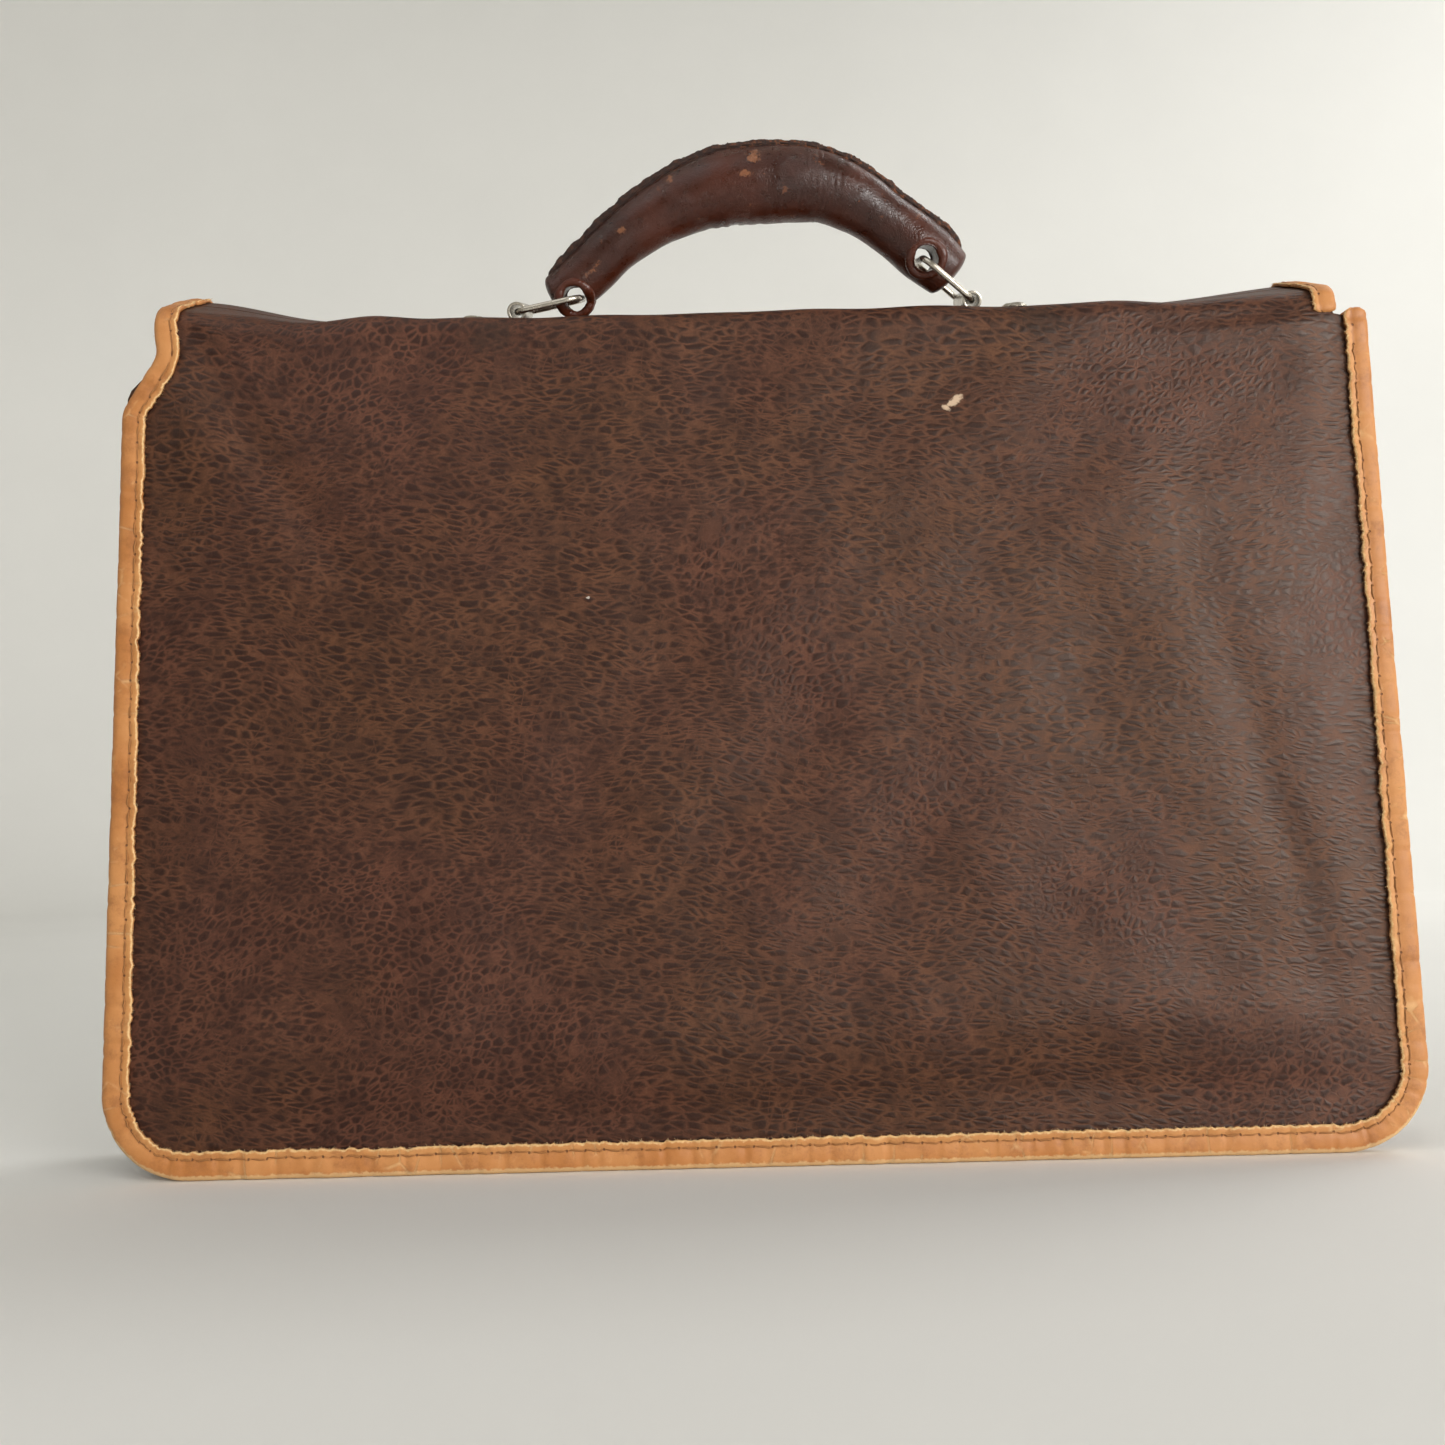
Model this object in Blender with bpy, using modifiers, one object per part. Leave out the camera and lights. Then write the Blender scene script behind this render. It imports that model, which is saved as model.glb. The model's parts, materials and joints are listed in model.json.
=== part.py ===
"""Leather briefcase with a folding flap, a gusseted body and a stuffed carrying handle.

Frame: +X across the case, +Y towards the flap's front, +Z up. The plain back panel faces -Y. The origin
is at the bottom centre of the whole object, and the case stands on the edges of its bound seams.

One sheet makes the back, the top section and the front of the flap. It is split here at its two folds:
    flap_top     turns about the fold at the top of the back panel
    flap_front   turns about the fold at the front of the top section
    front_panel  turns about its bottom seam, which opens the mouth
    lock_knob    turns on the lock's stem
    ring_left, ring_right and handle swing in one plane, square to the bracket tubes
"""

import math

import bmesh
import bpy
from mathutils import Vector

MM = 0.001

# The case
BACK_Y = -18.3 * MM  # outer face of the back panel
FOLD_HEIGHT = 256 * MM  # fold between the back panel and the top section
HALF_BOTTOM = 197 * MM
HALF_TOP = 191 * MM
CORNER_RADIUS = 26 * MM
FLAP_HALF = 182 * MM
NECK_LOW = 231 * MM  # where the left side steps in to the flap's width
NECK_HIGH = 241 * MM
SIDE_TOP = 252 * MM  # where the right side steps in
FRONT_Y = 44 * MM  # from the back panel's face to the front panel's, at the floor
FRONT_TOP = 232 * MM
LEAN = math.radians(3.7)  # the front panel leans back towards the mouth
FRONT_LIFT = 0.5 * MM
FLAP_LENGTH = 150 * MM
FLAP_CORNER_RADIUS = 28 * MM

# The sheets
SKIN = 1.6 * MM
GUSSET = 1.2 * MM
LINING = 0.6 * MM
TAPE = 1.0 * MM
BINDING = 8.8 * MM  # width of the binding tape on each face
GAP = 0.3 * MM
SEAM = 9.6 * MM  # from the edge to where the gusset turns inwards
FOLD_DEPTH = 14 * MM  # how far a side gusset folds inwards at the mouth
GUSSET_TOP = 229 * MM
FOLD_CLEAR = 3.2 * MM  # from the front fold to where the bindings start
FLAP_GAP = 2.0 * MM  # from the front panel to the flap's lining
LINING_HALF = 170 * MM

# The handle's fittings
BRACKET_SPACING = 142 * MM
TUBE_RADIUS = 3.0 * MM
TUBE_WALL = 0.9 * MM
TUBE_LENGTH = 19 * MM
PLATE_LENGTH = 24 * MM
RING_PITCH = 20 * MM  # between the ring's two bars
RING_SPAN = 22.5 * MM  # between the ring's two sides
WIRE_RADIUS = 1.0 * MM
LEFT_ANGLE = math.radians(11)  # how far each ring stands up from the top section
RIGHT_ANGLE = math.radians(40)
EYE_RADIUS = 4.0 * MM
LEFT_EYE_OFFSET = -1.8 * MM  # from the ring's bar to the middle of the eye
RIGHT_EYE_OFFSET = 1.2 * MM
GRIP_WALL = 1.8 * MM
RIDGE_HEIGHT = 2.4 * MM  # the sewn ridge along the grip's outer edge
RIDGE_WIDTH = 2.6 * MM
BAR_WIDTH = 18 * MM
BAR_HALF = 172 * MM
BAR_THICKNESS = 1.2 * MM
RIVET_X = 15 * MM  # from the tube's axis
RIVET_SPACING = 10 * MM

# The turn lock
LOCK_DROP = 124 * MM  # below the front fold
SLOT_HALF = (12 * MM, 6.5 * MM)
KNOB_HALF = (10 * MM, 2.5 * MM)
STEM_RADIUS = 2.0 * MM
BOSS_RADIUS = 3.5 * MM
BASE_HALF = (14.3 * MM, 7.5 * MM)
BASE_RIVET_X = 10.6 * MM
EYELET_RIVET_X = 17 * MM

CURVE_STEPS = 8  # segments in a rounded corner
ROUND_STEPS = 16  # segments around a turned piece
MERGE = 0.01 * MM
STAND_UP = (math.pi / 2, 0, 0)  # turns an outline in XY up into XZ


def clear_scene():
    for obj in list(bpy.data.objects):
        bpy.data.objects.remove(obj, do_unlink=True)


def collection(name):
    made = bpy.data.collections.new(name)
    bpy.context.scene.collection.children.link(made)
    return made


def material(name, color, roughness, metallic=0.0):
    made = bpy.data.materials.new(name)
    made.use_nodes = True
    shader = made.node_tree.nodes["Principled BSDF"]
    shader.inputs["Base Color"].default_value = (*color, 1.0)
    shader.inputs["Roughness"].default_value = roughness
    shader.inputs["Metallic"].default_value = metallic
    return made


# ---------------------------------------------------------------- outlines, as lists of (x, z)


def half_width(z):
    return HALF_BOTTOM + (HALF_TOP - HALF_BOTTOM) * z / FOLD_HEIGHT


def crossing(a, u, b, v):
    """Where the line through a along u meets the line through b along v."""
    across = u.x * v.y - u.y * v.x
    return a + u * (((b.x - a.x) * v.y - (b.y - a.y) * v.x) / across)


def inset_line(points, inset):
    """An open line moved to its left by inset, with mitred corners."""
    points = [Vector(p) for p in points]
    runs = [(b - a).normalized() for a, b in zip(points, points[1:])]
    shifts = [Vector((-run.y, run.x)) * inset for run in runs]
    moved = [points[0] + shifts[0]]
    for i in range(1, len(runs)):
        start = points[i] + shifts[i - 1]
        moved.append(crossing(start, runs[i - 1], points[i] + shifts[i], runs[i]))
    moved.append(points[-1] + shifts[-1])
    return moved


def rounded(points, radii):
    """An open line with an arc of the given radius at each of its inner points."""
    out = [Vector(points[0])]
    for i, radius in enumerate(radii, start=1):
        before, here, after = (Vector(p) for p in points[i - 1 : i + 2])
        if radius <= 0:
            out.append(here)
            continue
        back = (before - here).normalized()
        ahead = (after - here).normalized()
        half = back.angle(ahead) / 2
        centre = here + (back + ahead).normalized() * (radius / math.sin(half))
        start = here + back * (radius / math.tan(half)) - centre
        end = here + ahead * (radius / math.tan(half)) - centre
        turn = start.angle_signed(end)
        for step in range(CURVE_STEPS + 1):
            angle = -turn * step / CURVE_STEPS
            cos, sin = math.cos(angle), math.sin(angle)
            out.append(centre + Vector((start.x * cos - start.y * sin, start.x * sin + start.y * cos)))
    out.append(Vector(points[-1]))
    return out


def edge(points, radii, inset=0.0):
    """The line of an edge, inset, with its round corners kept concentric."""
    return rounded(inset_line(points, inset), [r - inset if r else 0 for r in radii])


def lengthened(line, extra):
    """An open line with both ends carried on by extra."""
    first = line[0] + (line[0] - line[1]).normalized() * extra
    last = line[-1] + (line[-1] - line[-2]).normalized() * extra
    return [first, *line, last]


BACK_EDGE = (
    [
        (-FLAP_HALF, 254 * MM),
        (-FLAP_HALF, NECK_HIGH),
        (-half_width(NECK_LOW), NECK_LOW),
        (-HALF_BOTTOM, 0),
        (HALF_BOTTOM, 0),
        (half_width(SIDE_TOP), SIDE_TOP),
    ],
    [0, 0, CORNER_RADIUS, CORNER_RADIUS],
)
FRONT_EDGE = (
    [
        (-half_width(FRONT_TOP), FRONT_TOP),
        (-HALF_BOTTOM, 0),
        (HALF_BOTTOM, 0),
        (half_width(FRONT_TOP), FRONT_TOP),
    ],
    [CORNER_RADIUS, CORNER_RADIUS],
)
FLAP_EDGE = (
    [
        (-FLAP_HALF, -FOLD_CLEAR),
        (-FLAP_HALF, -FLAP_LENGTH),
        (FLAP_HALF, -FLAP_LENGTH),
        (FLAP_HALF, -FOLD_CLEAR),
    ],
    [FLAP_CORNER_RADIUS, FLAP_CORNER_RADIUS],
)


def circle(x, y, radius, steps=ROUND_STEPS):
    turns = (2 * math.pi * i / steps for i in range(steps))
    return [Vector((x + radius * math.cos(t), y + radius * math.sin(t))) for t in turns]


def slab(half_x, half_y, radius, x=0.0, y=0.0):
    """A rectangle with round corners, centred on x, y."""
    corners = [(-1, -1), (1, -1), (1, 1), (-1, 1)]
    points = [(x + sx * half_x, y + sy * half_y) for sx, sy in corners]
    middle = (x - half_x, y)
    return rounded([middle, *points, middle], [radius] * 4)[1:-1]


# ---------------------------------------------------------------- solids


def add(obj, node, look, home, location=(0, 0, 0), rotation=(0, 0, 0)):
    """Names an object, gives it its look, and places it in its home frame."""
    obj.name = node
    obj.data.name = node
    obj.data.materials.clear()
    obj.data.materials.append(look)
    obj.parent = home
    obj.location = location
    obj.rotation_euler = rotation
    return obj


def plate_curve(outline, thickness, holes=()):
    """A flat outline, with any holes, as thick as asked and centred on its plane."""
    data = bpy.data.curves.new("plate", "CURVE")
    data.dimensions = "2D"
    data.fill_mode = "BOTH"
    data.extrude = thickness / 2
    for line in (outline, *holes):
        spline = data.splines.new("POLY")
        spline.points.add(len(line) - 1)
        for point, at in zip(spline.points, line):
            point.co = (at[0], at[1], 0, 1)
        spline.use_cyclic_u = True
    obj = bpy.data.objects.new("plate", data)
    PARTS.objects.link(obj)
    return obj


def plate(node, outline, thickness, look, home=None, location=(0, 0, 0), holes=(), upright=True):
    rotation = STAND_UP if upright else (0, 0, 0)
    return add(plate_curve(outline, thickness, holes), node, look, home, location, rotation)


def tube_curve(points, radii, cyclic=False, sides=4):
    """A round tube through points, each with its own radius."""
    data = bpy.data.curves.new("tube", "CURVE")
    data.dimensions = "3D"
    data.bevel_depth = 1.0
    data.bevel_resolution = sides
    data.use_fill_caps = not cyclic
    spline = data.splines.new("POLY")
    spline.points.add(len(points) - 1)
    for point, at, radius in zip(spline.points, points, radii):
        point.co = (*at, 1)
        point.radius = radius
    spline.use_cyclic_u = cyclic
    obj = bpy.data.objects.new("tube", data)
    PARTS.objects.link(obj)
    return obj


def turned(profile):
    """A solid of revolution about Z. The profile runs from the top of the axis down the outer side."""
    mesh = bpy.data.meshes.new("turned")
    last = len(profile) - 1
    mesh.from_pydata([(x, 0, z) for x, z in profile], [(i, i + 1) for i in range(last)], [])
    obj = bpy.data.objects.new("turned", mesh)
    PARTS.objects.link(obj)
    screw = obj.modifiers.new("turn", "SCREW")
    screw.steps = screw.render_steps = ROUND_STEPS
    screw.use_merge_vertices = True
    screw.merge_threshold = MERGE
    return obj


def sheet(rows, thickness):
    """A solid sheet through a grid of points, half its thickness on each side."""
    mesh = bpy.data.meshes.new("sheet")
    wide = len(rows[0])
    faces = []
    for i in range(len(rows) - 1):
        for j in range(wide - 1):
            a = i * wide + j
            faces.append((a, a + 1, a + wide + 1, a + wide))
    mesh.from_pydata([p for row in rows for p in row], [], faces)
    obj = bpy.data.objects.new("sheet", mesh)
    PARTS.objects.link(obj)
    solid = obj.modifiers.new("thickness", "SOLIDIFY")
    solid.thickness = thickness
    solid.offset = 0
    solid.use_even_offset = True
    return obj


def as_mesh(obj):
    """The object with its curve or modifiers made one closed mesh, in the same place."""
    graph = bpy.context.evaluated_depsgraph_get()
    mesh = bpy.data.meshes.new_from_object(obj.evaluated_get(graph))
    name = obj.name
    home, location, rotation = obj.parent, obj.location.copy(), obj.rotation_euler.copy()
    look = obj.data.materials[0] if obj.data.materials else None
    bpy.data.objects.remove(obj, do_unlink=True)
    work = bmesh_of(mesh)
    made = bpy.data.objects.new(name, work)
    PARTS.objects.link(made)
    made.parent, made.location, made.rotation_euler = home, location, rotation
    if look and not work.materials:
        work.materials.append(look)
    return made


def bmesh_of(mesh):
    """The mesh with its loose caps welded on."""
    work = bmesh.new()
    work.from_mesh(mesh)
    bmesh.ops.remove_doubles(work, verts=work.verts, dist=MERGE)
    bmesh.ops.recalc_face_normals(work, faces=work.faces)
    work.to_mesh(mesh)
    work.free()
    return mesh


def combine(obj, other, operation):
    """Cuts or joins other, which becomes a hidden guide."""
    for owner in list(other.users_collection):
        owner.objects.unlink(other)
    CUTTERS.objects.link(other)
    other.hide_render = True
    other.display_type = "WIRE"
    step = obj.modifiers.new(operation.lower(), "BOOLEAN")
    step.operation = operation
    step.solver = "EXACT"
    step.object = other
    return obj


def drum(radius, depth, home, location, rotation=(0, 0, 0)):
    """A closed cylinder, for cutting or joining."""
    profile = [(0, depth / 2), (radius, depth / 2), (radius, -depth / 2), (0, -depth / 2)]
    obj = turned(profile)
    obj.parent, obj.location, obj.rotation_euler = home, location, rotation
    return as_mesh(obj)


def rivet(node, look, home, location, rotation, grip, head, shank, tail):
    """A rivet with its head on its origin and its tail at grip below. head and tail are (radius, height)."""
    profile = [
        (0, head[1]),
        (head[0] * 0.6, head[1] * 0.85),
        (head[0], head[1] * 0.25),
        (head[0], 0),
        (shank, 0),
        (shank, -grip),
        (tail[0], -grip),
        (tail[0], -grip - tail[1]),
        (0, -grip - tail[1]),
    ]
    return add(turned(profile), node, look, home, location, rotation)


def axis(name, home, location, rotation=(0, 0, 0)):
    """An empty on a joint's axis."""
    obj = bpy.data.objects.new(name, None)
    obj.empty_display_size = 10 * MM
    PARTS.objects.link(obj)
    obj.parent = home
    obj.location = location
    obj.rotation_euler = rotation
    return obj


def binding(node, line, radii, layers, look, home, y_face, upright=True):
    """A tape folded round an edge: a band with a slot for the layers that it holds."""
    slot = layers + GAP
    thick = slot + 2 * TAPE
    outer = edge(line, radii)
    inner = edge(line, radii, BINDING)
    middle = y_face + slot / 2
    place = (0, middle, 0) if upright else (0, 0, -middle)
    band = plate(node, outer + inner[::-1], thick, look, home, place, upright=upright)
    band = as_mesh(band)
    groove = lengthened(edge(line, radii, TAPE), 4 * MM)
    groove += lengthened(edge(line, radii, BINDING + 4 * MM), 4 * MM)[::-1]
    cutter = plate(node + "_slot", groove, slot, look, home, place, upright=upright)
    return combine(band, as_mesh(cutter), "DIFFERENCE")


# ---------------------------------------------------------------- the body


def back_panel():
    line, radii = BACK_EDGE
    inset = TAPE + GAP
    outline = edge(line, radii, inset)
    top = FOLD_HEIGHT - 1.2 * MM
    inner = FLAP_HALF - inset
    outline[0].y = top
    outline[-1].y = SIDE_TOP - inset
    outline += [Vector((inner, SIDE_TOP - inset)), Vector((inner, top))]
    plate("back_panel", outline, SKIN, LEATHERETTE, None, (0, BACK_Y + SKIN / 2, 0))


def back_lining():
    low, high = 14 * MM, 246 * MM
    outline = slab(LINING_HALF, (high - low) / 2, 12 * MM, y=(high + low) / 2)
    y = BACK_Y + SKIN + GAP + LINING / 2
    plate("back_lining", outline, LINING, CLOTH, None, (0, y, 0))


def gusset_back_y():
    return BACK_Y + SKIN + GAP + GUSSET / 2


def gusset_front_y(z):
    behind = SKIN + GAP + TAPE + GAP + GUSSET / 2
    return BACK_Y + FRONT_Y - z * math.tan(LEAN) - behind / math.cos(LEAN)


def gusset_row(flange, root, fold, foot):
    """One section of the gusset: flange, seam, fold, seam, front flange. Points are (x, z)."""
    back = gusset_back_y()
    front = gusset_front_y(root[1])
    return [
        (flange[0], back, flange[1]),
        (root[0], back, root[1]),
        (fold[0], (back + front) / 2, fold[1]),
        (root[0], front, root[1]),
        (foot[0], front, foot[1]),
    ]


def bottom_gusset():
    line, radii = FRONT_EDGE
    flange = edge(line, radii, TAPE + GAP)[1:-1]
    root = edge(line, radii, SEAM)[1:-1]
    foot = edge(line, radii)[1:-1]
    rows = [gusset_row(*spots) for spots in zip(flange, root, root, foot)]
    add(sheet(rows, GUSSET), "bottom_gusset", LEATHERETTE, None)


def side_gusset(node, side):
    rows = []
    low = CORNER_RADIUS + 1.0 * MM
    for step in range(6):
        share = step / 5
        z = low + (GUSSET_TOP - low) * share
        half = half_width(z)
        depth = FOLD_DEPTH * min(1.0, share * 1.6)
        spots = [(side * (half - inset), z) for inset in (TAPE + GAP, SEAM, SEAM + depth, 0)]
        rows.append(gusset_row(*spots))
    add(sheet(rows, GUSSET), node, LEATHERETTE, None)


# ---------------------------------------------------------------- the front panel

FACE = SKIN + 1.5 * GAP + TAPE  # from the mouth's axis out to the front panel's face


def mouth_axis():
    """On the inside of the front seam, at the floor, with the panel's lean."""
    y = BACK_Y + FRONT_Y - FACE * math.cos(LEAN)
    z = FRONT_LIFT - FACE * math.sin(LEAN)
    return axis("mouth_axis", None, (0, y, z), (LEAN, 0, 0))


def front_panel(home):
    line, radii = FRONT_EDGE
    outline = edge(line, radii, TAPE + GAP)
    lock_z = lock_height()
    holes = [circle(x, lock_z, 1.5 * MM) for x in (-BASE_RIVET_X, BASE_RIVET_X)]
    plate("front_panel", outline, SKIN, LEATHERETTE, home, (0, FACE - SKIN / 2, 0), holes)
    low, high = 14 * MM, FRONT_TOP - 4 * MM
    outline = slab(LINING_HALF, (high - low) / 2, 12 * MM, y=(high + low) / 2)
    y = FACE - SKIN - GAP - LINING / 2
    plate("front_lining", outline, LINING, CLOTH, home, (0, y, 0), holes)
    binding("front_binding", line, radii, SKIN + GAP, BINDING_TAPE, home, FACE - SKIN - GAP)


def front_fold():
    """The front fold's place: y and z in the mouth's frame, then in the world."""
    y = FACE + FLAP_GAP + LINING + GAP + SKIN / 2
    z = 266 * MM
    cos, sin = math.cos(LEAN), math.sin(LEAN)
    base = Vector((BACK_Y + FRONT_Y - FACE * cos, FRONT_LIFT - FACE * sin))
    return y, z, base + Vector((y * cos - z * sin, y * sin + z * cos))


def lock_height():
    """The lock's height in the mouth's frame."""
    return front_fold()[1] - LOCK_DROP


def lock(home):
    z = lock_height()
    face = FACE + GAP
    thickness = 1.0 * MM
    boss_top = 5.0 * MM
    outline = slab(*BASE_HALF, 5 * MM)
    holes = [circle(x, 0, 1.5 * MM) for x in (-BASE_RIVET_X, BASE_RIVET_X)]
    base = plate("lock_base", outline, thickness, NICKEL, home, (0, face + thickness / 2, z), holes)
    base = as_mesh(base)
    height = boss_top - GAP - 0.2 * MM
    middle = face + 0.2 * MM + height / 2
    base = combine(base, drum(BOSS_RADIUS, height, home, (0, middle, z), STAND_UP), "UNION")
    combine(base, drum(STEM_RADIUS + GAP, 14 * MM, home, (0, middle, z), STAND_UP), "DIFFERENCE")

    y = FACE - SKIN - GAP - LINING - GAP - 0.4 * MM
    plate("lock_backplate", outline, 0.8 * MM, NICKEL, home, (0, y, z), holes)
    grip = SKIN + LINING + thickness + 0.8 * MM + 4 * GAP
    for side, x in (("left", -BASE_RIVET_X), ("right", BASE_RIVET_X)):
        rivet(
            f"lock_base_rivet_{side}",
            NICKEL,
            home,
            (x, face + thickness + GAP / 2, z),
            (-math.pi / 2, 0, 0),
            grip,
            (2.2 * MM, 0.5 * MM),
            1.2 * MM,
            (2.2 * MM, 0.6 * MM),
        )


def knob(home):
    """A winged knob. Its axis is the stem's, and at rest the wing lines up with the slot."""
    wing_low = 2.0 * MM
    stem_low = -3.7 * MM
    wing = as_mesh(plate("lock_knob", slab(*KNOB_HALF, 2.4 * MM), 3.6 * MM, NICKEL, home))
    wing.location.y = wing_low + 1.8 * MM
    length = wing_low - stem_low + 1.0 * MM
    stem = drum(STEM_RADIUS, length, home, (0, stem_low + length / 2, 0), STAND_UP)
    combine(wing, stem, "UNION")


# ---------------------------------------------------------------- the flap


def top_frame():
    """The top section's axis: its width and slope follow from the two folds."""
    fold = Vector((BACK_Y + SKIN / 2, FOLD_HEIGHT))
    run = front_fold()[2] - fold
    frame = axis("flap_top_axis", None, (0, fold.x, fold.y), (math.atan2(run.y, run.x), 0, 0))
    return frame, run.length


def rivet_spots():
    middle = BRACKET_SPACING / 2 + RIVET_X
    return [(side * middle, row * RIVET_SPACING / 2) for side in (-1, 1) for row in (-1, 1)]


def flap_top(home, width):
    inner = FLAP_HALF - TAPE - GAP
    low, high = 1.2 * MM, width - 1.8 * MM
    middle = width / 2
    holes = [circle(x, y, 1.7 * MM) for x, y in rivet_spots()]
    sheet_holes = [[Vector((p.x, p.y + middle)) for p in hole] for hole in holes]
    outline = slab(inner, (high - low) / 2, 0.5 * MM, y=(high + low) / 2)
    plate("flap_top", outline, SKIN, LEATHERETTE, home, (0, 0, 0), sheet_holes, upright=False)
    bar_z = -SKIN / 2 - GAP - BAR_THICKNESS / 2
    outline = slab(BAR_HALF, BAR_WIDTH / 2, 3 * MM)
    plate("top_bar", outline, BAR_THICKNESS, STEEL, home, (0, middle, bar_z), holes, upright=False)
    outline = slab(LINING_HALF + 5 * MM, 12 * MM, 3 * MM)
    plate("flap_top_lining", outline, LINING, CLOTH, home, (0, middle, -4.1 * MM), upright=False)
    for side, name in ((-1, "left"), (1, "right")):
        x = side * FLAP_HALF
        line = [(x, width - FOLD_CLEAR), (x, low + 0.4 * MM)][::-side]
        layers, face = SKIN + GAP, -SKIN / 2 - GAP / 2
        binding(f"flap_top_binding_{name}", line, [], layers, BINDING_TAPE, home, face, False)


def bracket(node, side, home, middle):
    """A plate rolled into a tube at its inner end. Its axis is the tube's."""
    low = -TUBE_RADIUS
    wall_top = low + TUBE_WALL
    reach = math.sqrt(TUBE_RADIUS**2 - wall_top**2)
    start = math.atan2(wall_top, reach)
    sweep = 1.5 * math.pi - start
    arc = [start + sweep * i / 18 for i in range(19)]
    outline = [(PLATE_LENGTH, low), (PLATE_LENGTH, wall_top)]
    outline += [(TUBE_RADIUS * math.cos(t), TUBE_RADIUS * math.sin(t)) for t in arc]
    bore = circle(0, 0, TUBE_RADIUS - TUBE_WALL)
    outline = [(side * x, z) for x, z in outline]
    x = side * BRACKET_SPACING / 2
    place = (x, middle, tube_height())
    solid = as_mesh(plate(node, outline, TUBE_LENGTH, NICKEL, home, place, [bore]))
    for row in (-1, 1):
        at = (x + side * RIVET_X, middle + row * RIVET_SPACING / 2, SKIN)
        combine(solid, drum(1.7 * MM, 8 * MM, home, at), "DIFFERENCE")


def tube_height():
    return SKIN / 2 + GAP + TUBE_RADIUS


def bracket_rivets(home, middle):
    top = SKIN / 2 + GAP + TUBE_WALL + GAP / 2
    grip = top + SKIN / 2 + BAR_THICKNESS + 2 * GAP
    names = ("left_back", "left_front", "right_back", "right_front")
    for name, (x, y) in zip(names, rivet_spots()):
        head, tail = (3.0 * MM, 1.3 * MM), (2.4 * MM, 0.7 * MM)
        place = (x, middle + y, top)
        rivet(f"bracket_rivet_{name}", NICKEL, home, place, (0, 0, 0), grip, head, 1.4 * MM, tail)


def flap_front(home):
    line, radii = FLAP_EDGE
    slot = slab(*SLOT_HALF, 3 * MM, y=-LOCK_DROP)
    holes = [slot] + [circle(x, -LOCK_DROP, 1.5 * MM) for x in (-EYELET_RIVET_X, EYELET_RIVET_X)]
    outline = edge(line, radii, TAPE + GAP)
    outline[0].y = outline[-1].y = -1.6 * MM
    plate("flap_front", outline, SKIN, LEATHERETTE, home, holes=holes)
    low, high = -FLAP_LENGTH + 12 * MM, -5 * MM
    outline = slab(LINING_HALF, (high - low) / 2, 12 * MM, y=(high + low) / 2)
    y = -SKIN / 2 - GAP - LINING / 2
    plate("flap_front_lining", outline, LINING, CLOTH, home, (0, y, 0), holes)
    binding("flap_front_binding", line, radii, SKIN + GAP, BINDING_TAPE, home, -SKIN / 2 - GAP / 2)

    thickness = 1.0 * MM
    outline = slab(22 * MM, 14 * MM, 9 * MM, y=-LOCK_DROP)
    y = SKIN / 2 + GAP + thickness / 2
    plate("lock_eyelet", outline, thickness, NICKEL, home, (0, y, 0), holes)
    grip = SKIN + LINING + thickness + 3 * GAP
    for side, x in (("left", -EYELET_RIVET_X), ("right", EYELET_RIVET_X)):
        rivet(
            f"eyelet_rivet_{side}",
            NICKEL,
            home,
            (x, y + thickness / 2 + GAP / 2, -LOCK_DROP),
            (-math.pi / 2, 0, 0),
            grip,
            (2.4 * MM, 0.8 * MM),
            1.2 * MM,
            (2.2 * MM, 0.6 * MM),
        )


# ---------------------------------------------------------------- the handle


def ring(node, home):
    """A rectangular wire loop. Its axis is the bar in the tube, and the other bar is RING_PITCH along +X."""
    outline = slab(RING_PITCH / 2, RING_SPAN / 2, 3.0 * MM, x=RING_PITCH / 2)
    points = [(x, y, 0) for x, y in outline]
    add(tube_curve(points, [WIRE_RADIUS] * len(points), cyclic=True, sides=2), node, NICKEL, home)


def ring_ends():
    """The two bars that hold the handle, as x and z in the top section's frame."""
    half = BRACKET_SPACING / 2
    height = tube_height()
    left = Vector((-half + RING_PITCH * math.cos(LEFT_ANGLE), height + RING_PITCH * math.sin(LEFT_ANGLE)))
    right = Vector((half - RING_PITCH * math.cos(RIGHT_ANGLE), height + RING_PITCH * math.sin(RIGHT_ANGLE)))
    return left, right


# The grip's line from end to end: x, z and radius in millimetres, from the left ring's bar
GRIP_LINE = (
    (-7.2, 1.8, 5.6),
    (0.5, 5.6, 7.0),
    (12.3, 14.0, 7.7),
    (25.4, 21.4, 8.9),
    (38.1, 25.8, 10.2),
    (51.1, 27.7, 11.3),
    (69.2, 26.7, 11.4),
    (80.6, 24.0, 10.3),
    (89.6, 19.0, 9.4),
    (99.6, 10.8, 8.6),
    (109.0, 2.4, 8.4),
    (114.8, -5.0, 6.4),
)


def smooth(values, share):
    """A Catmull-Rom curve through evenly spaced values, at share 0 to 1."""
    place = share * (len(values) - 1)
    i = min(int(place), len(values) - 2)
    t = place - i
    a, b, c, d = (Vector(values[min(max(i + k, 0), len(values) - 1)]) for k in (-1, 0, 1, 2))
    return 0.5 * (2 * b + (c - a) * t + (2 * a - 5 * b + 4 * c - d) * t**2 + (3 * b - a - 3 * c + d) * t**3)


def grip_line(start, end, steps):
    return [smooth(GRIP_LINE, start + (end - start) * i / steps) * MM for i in range(steps + 1)]


def grip_tube(line, wall):
    return tube_curve([(x, 0, z) for x, z, _ in line], [radius - wall for _, _, radius in line])


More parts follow.
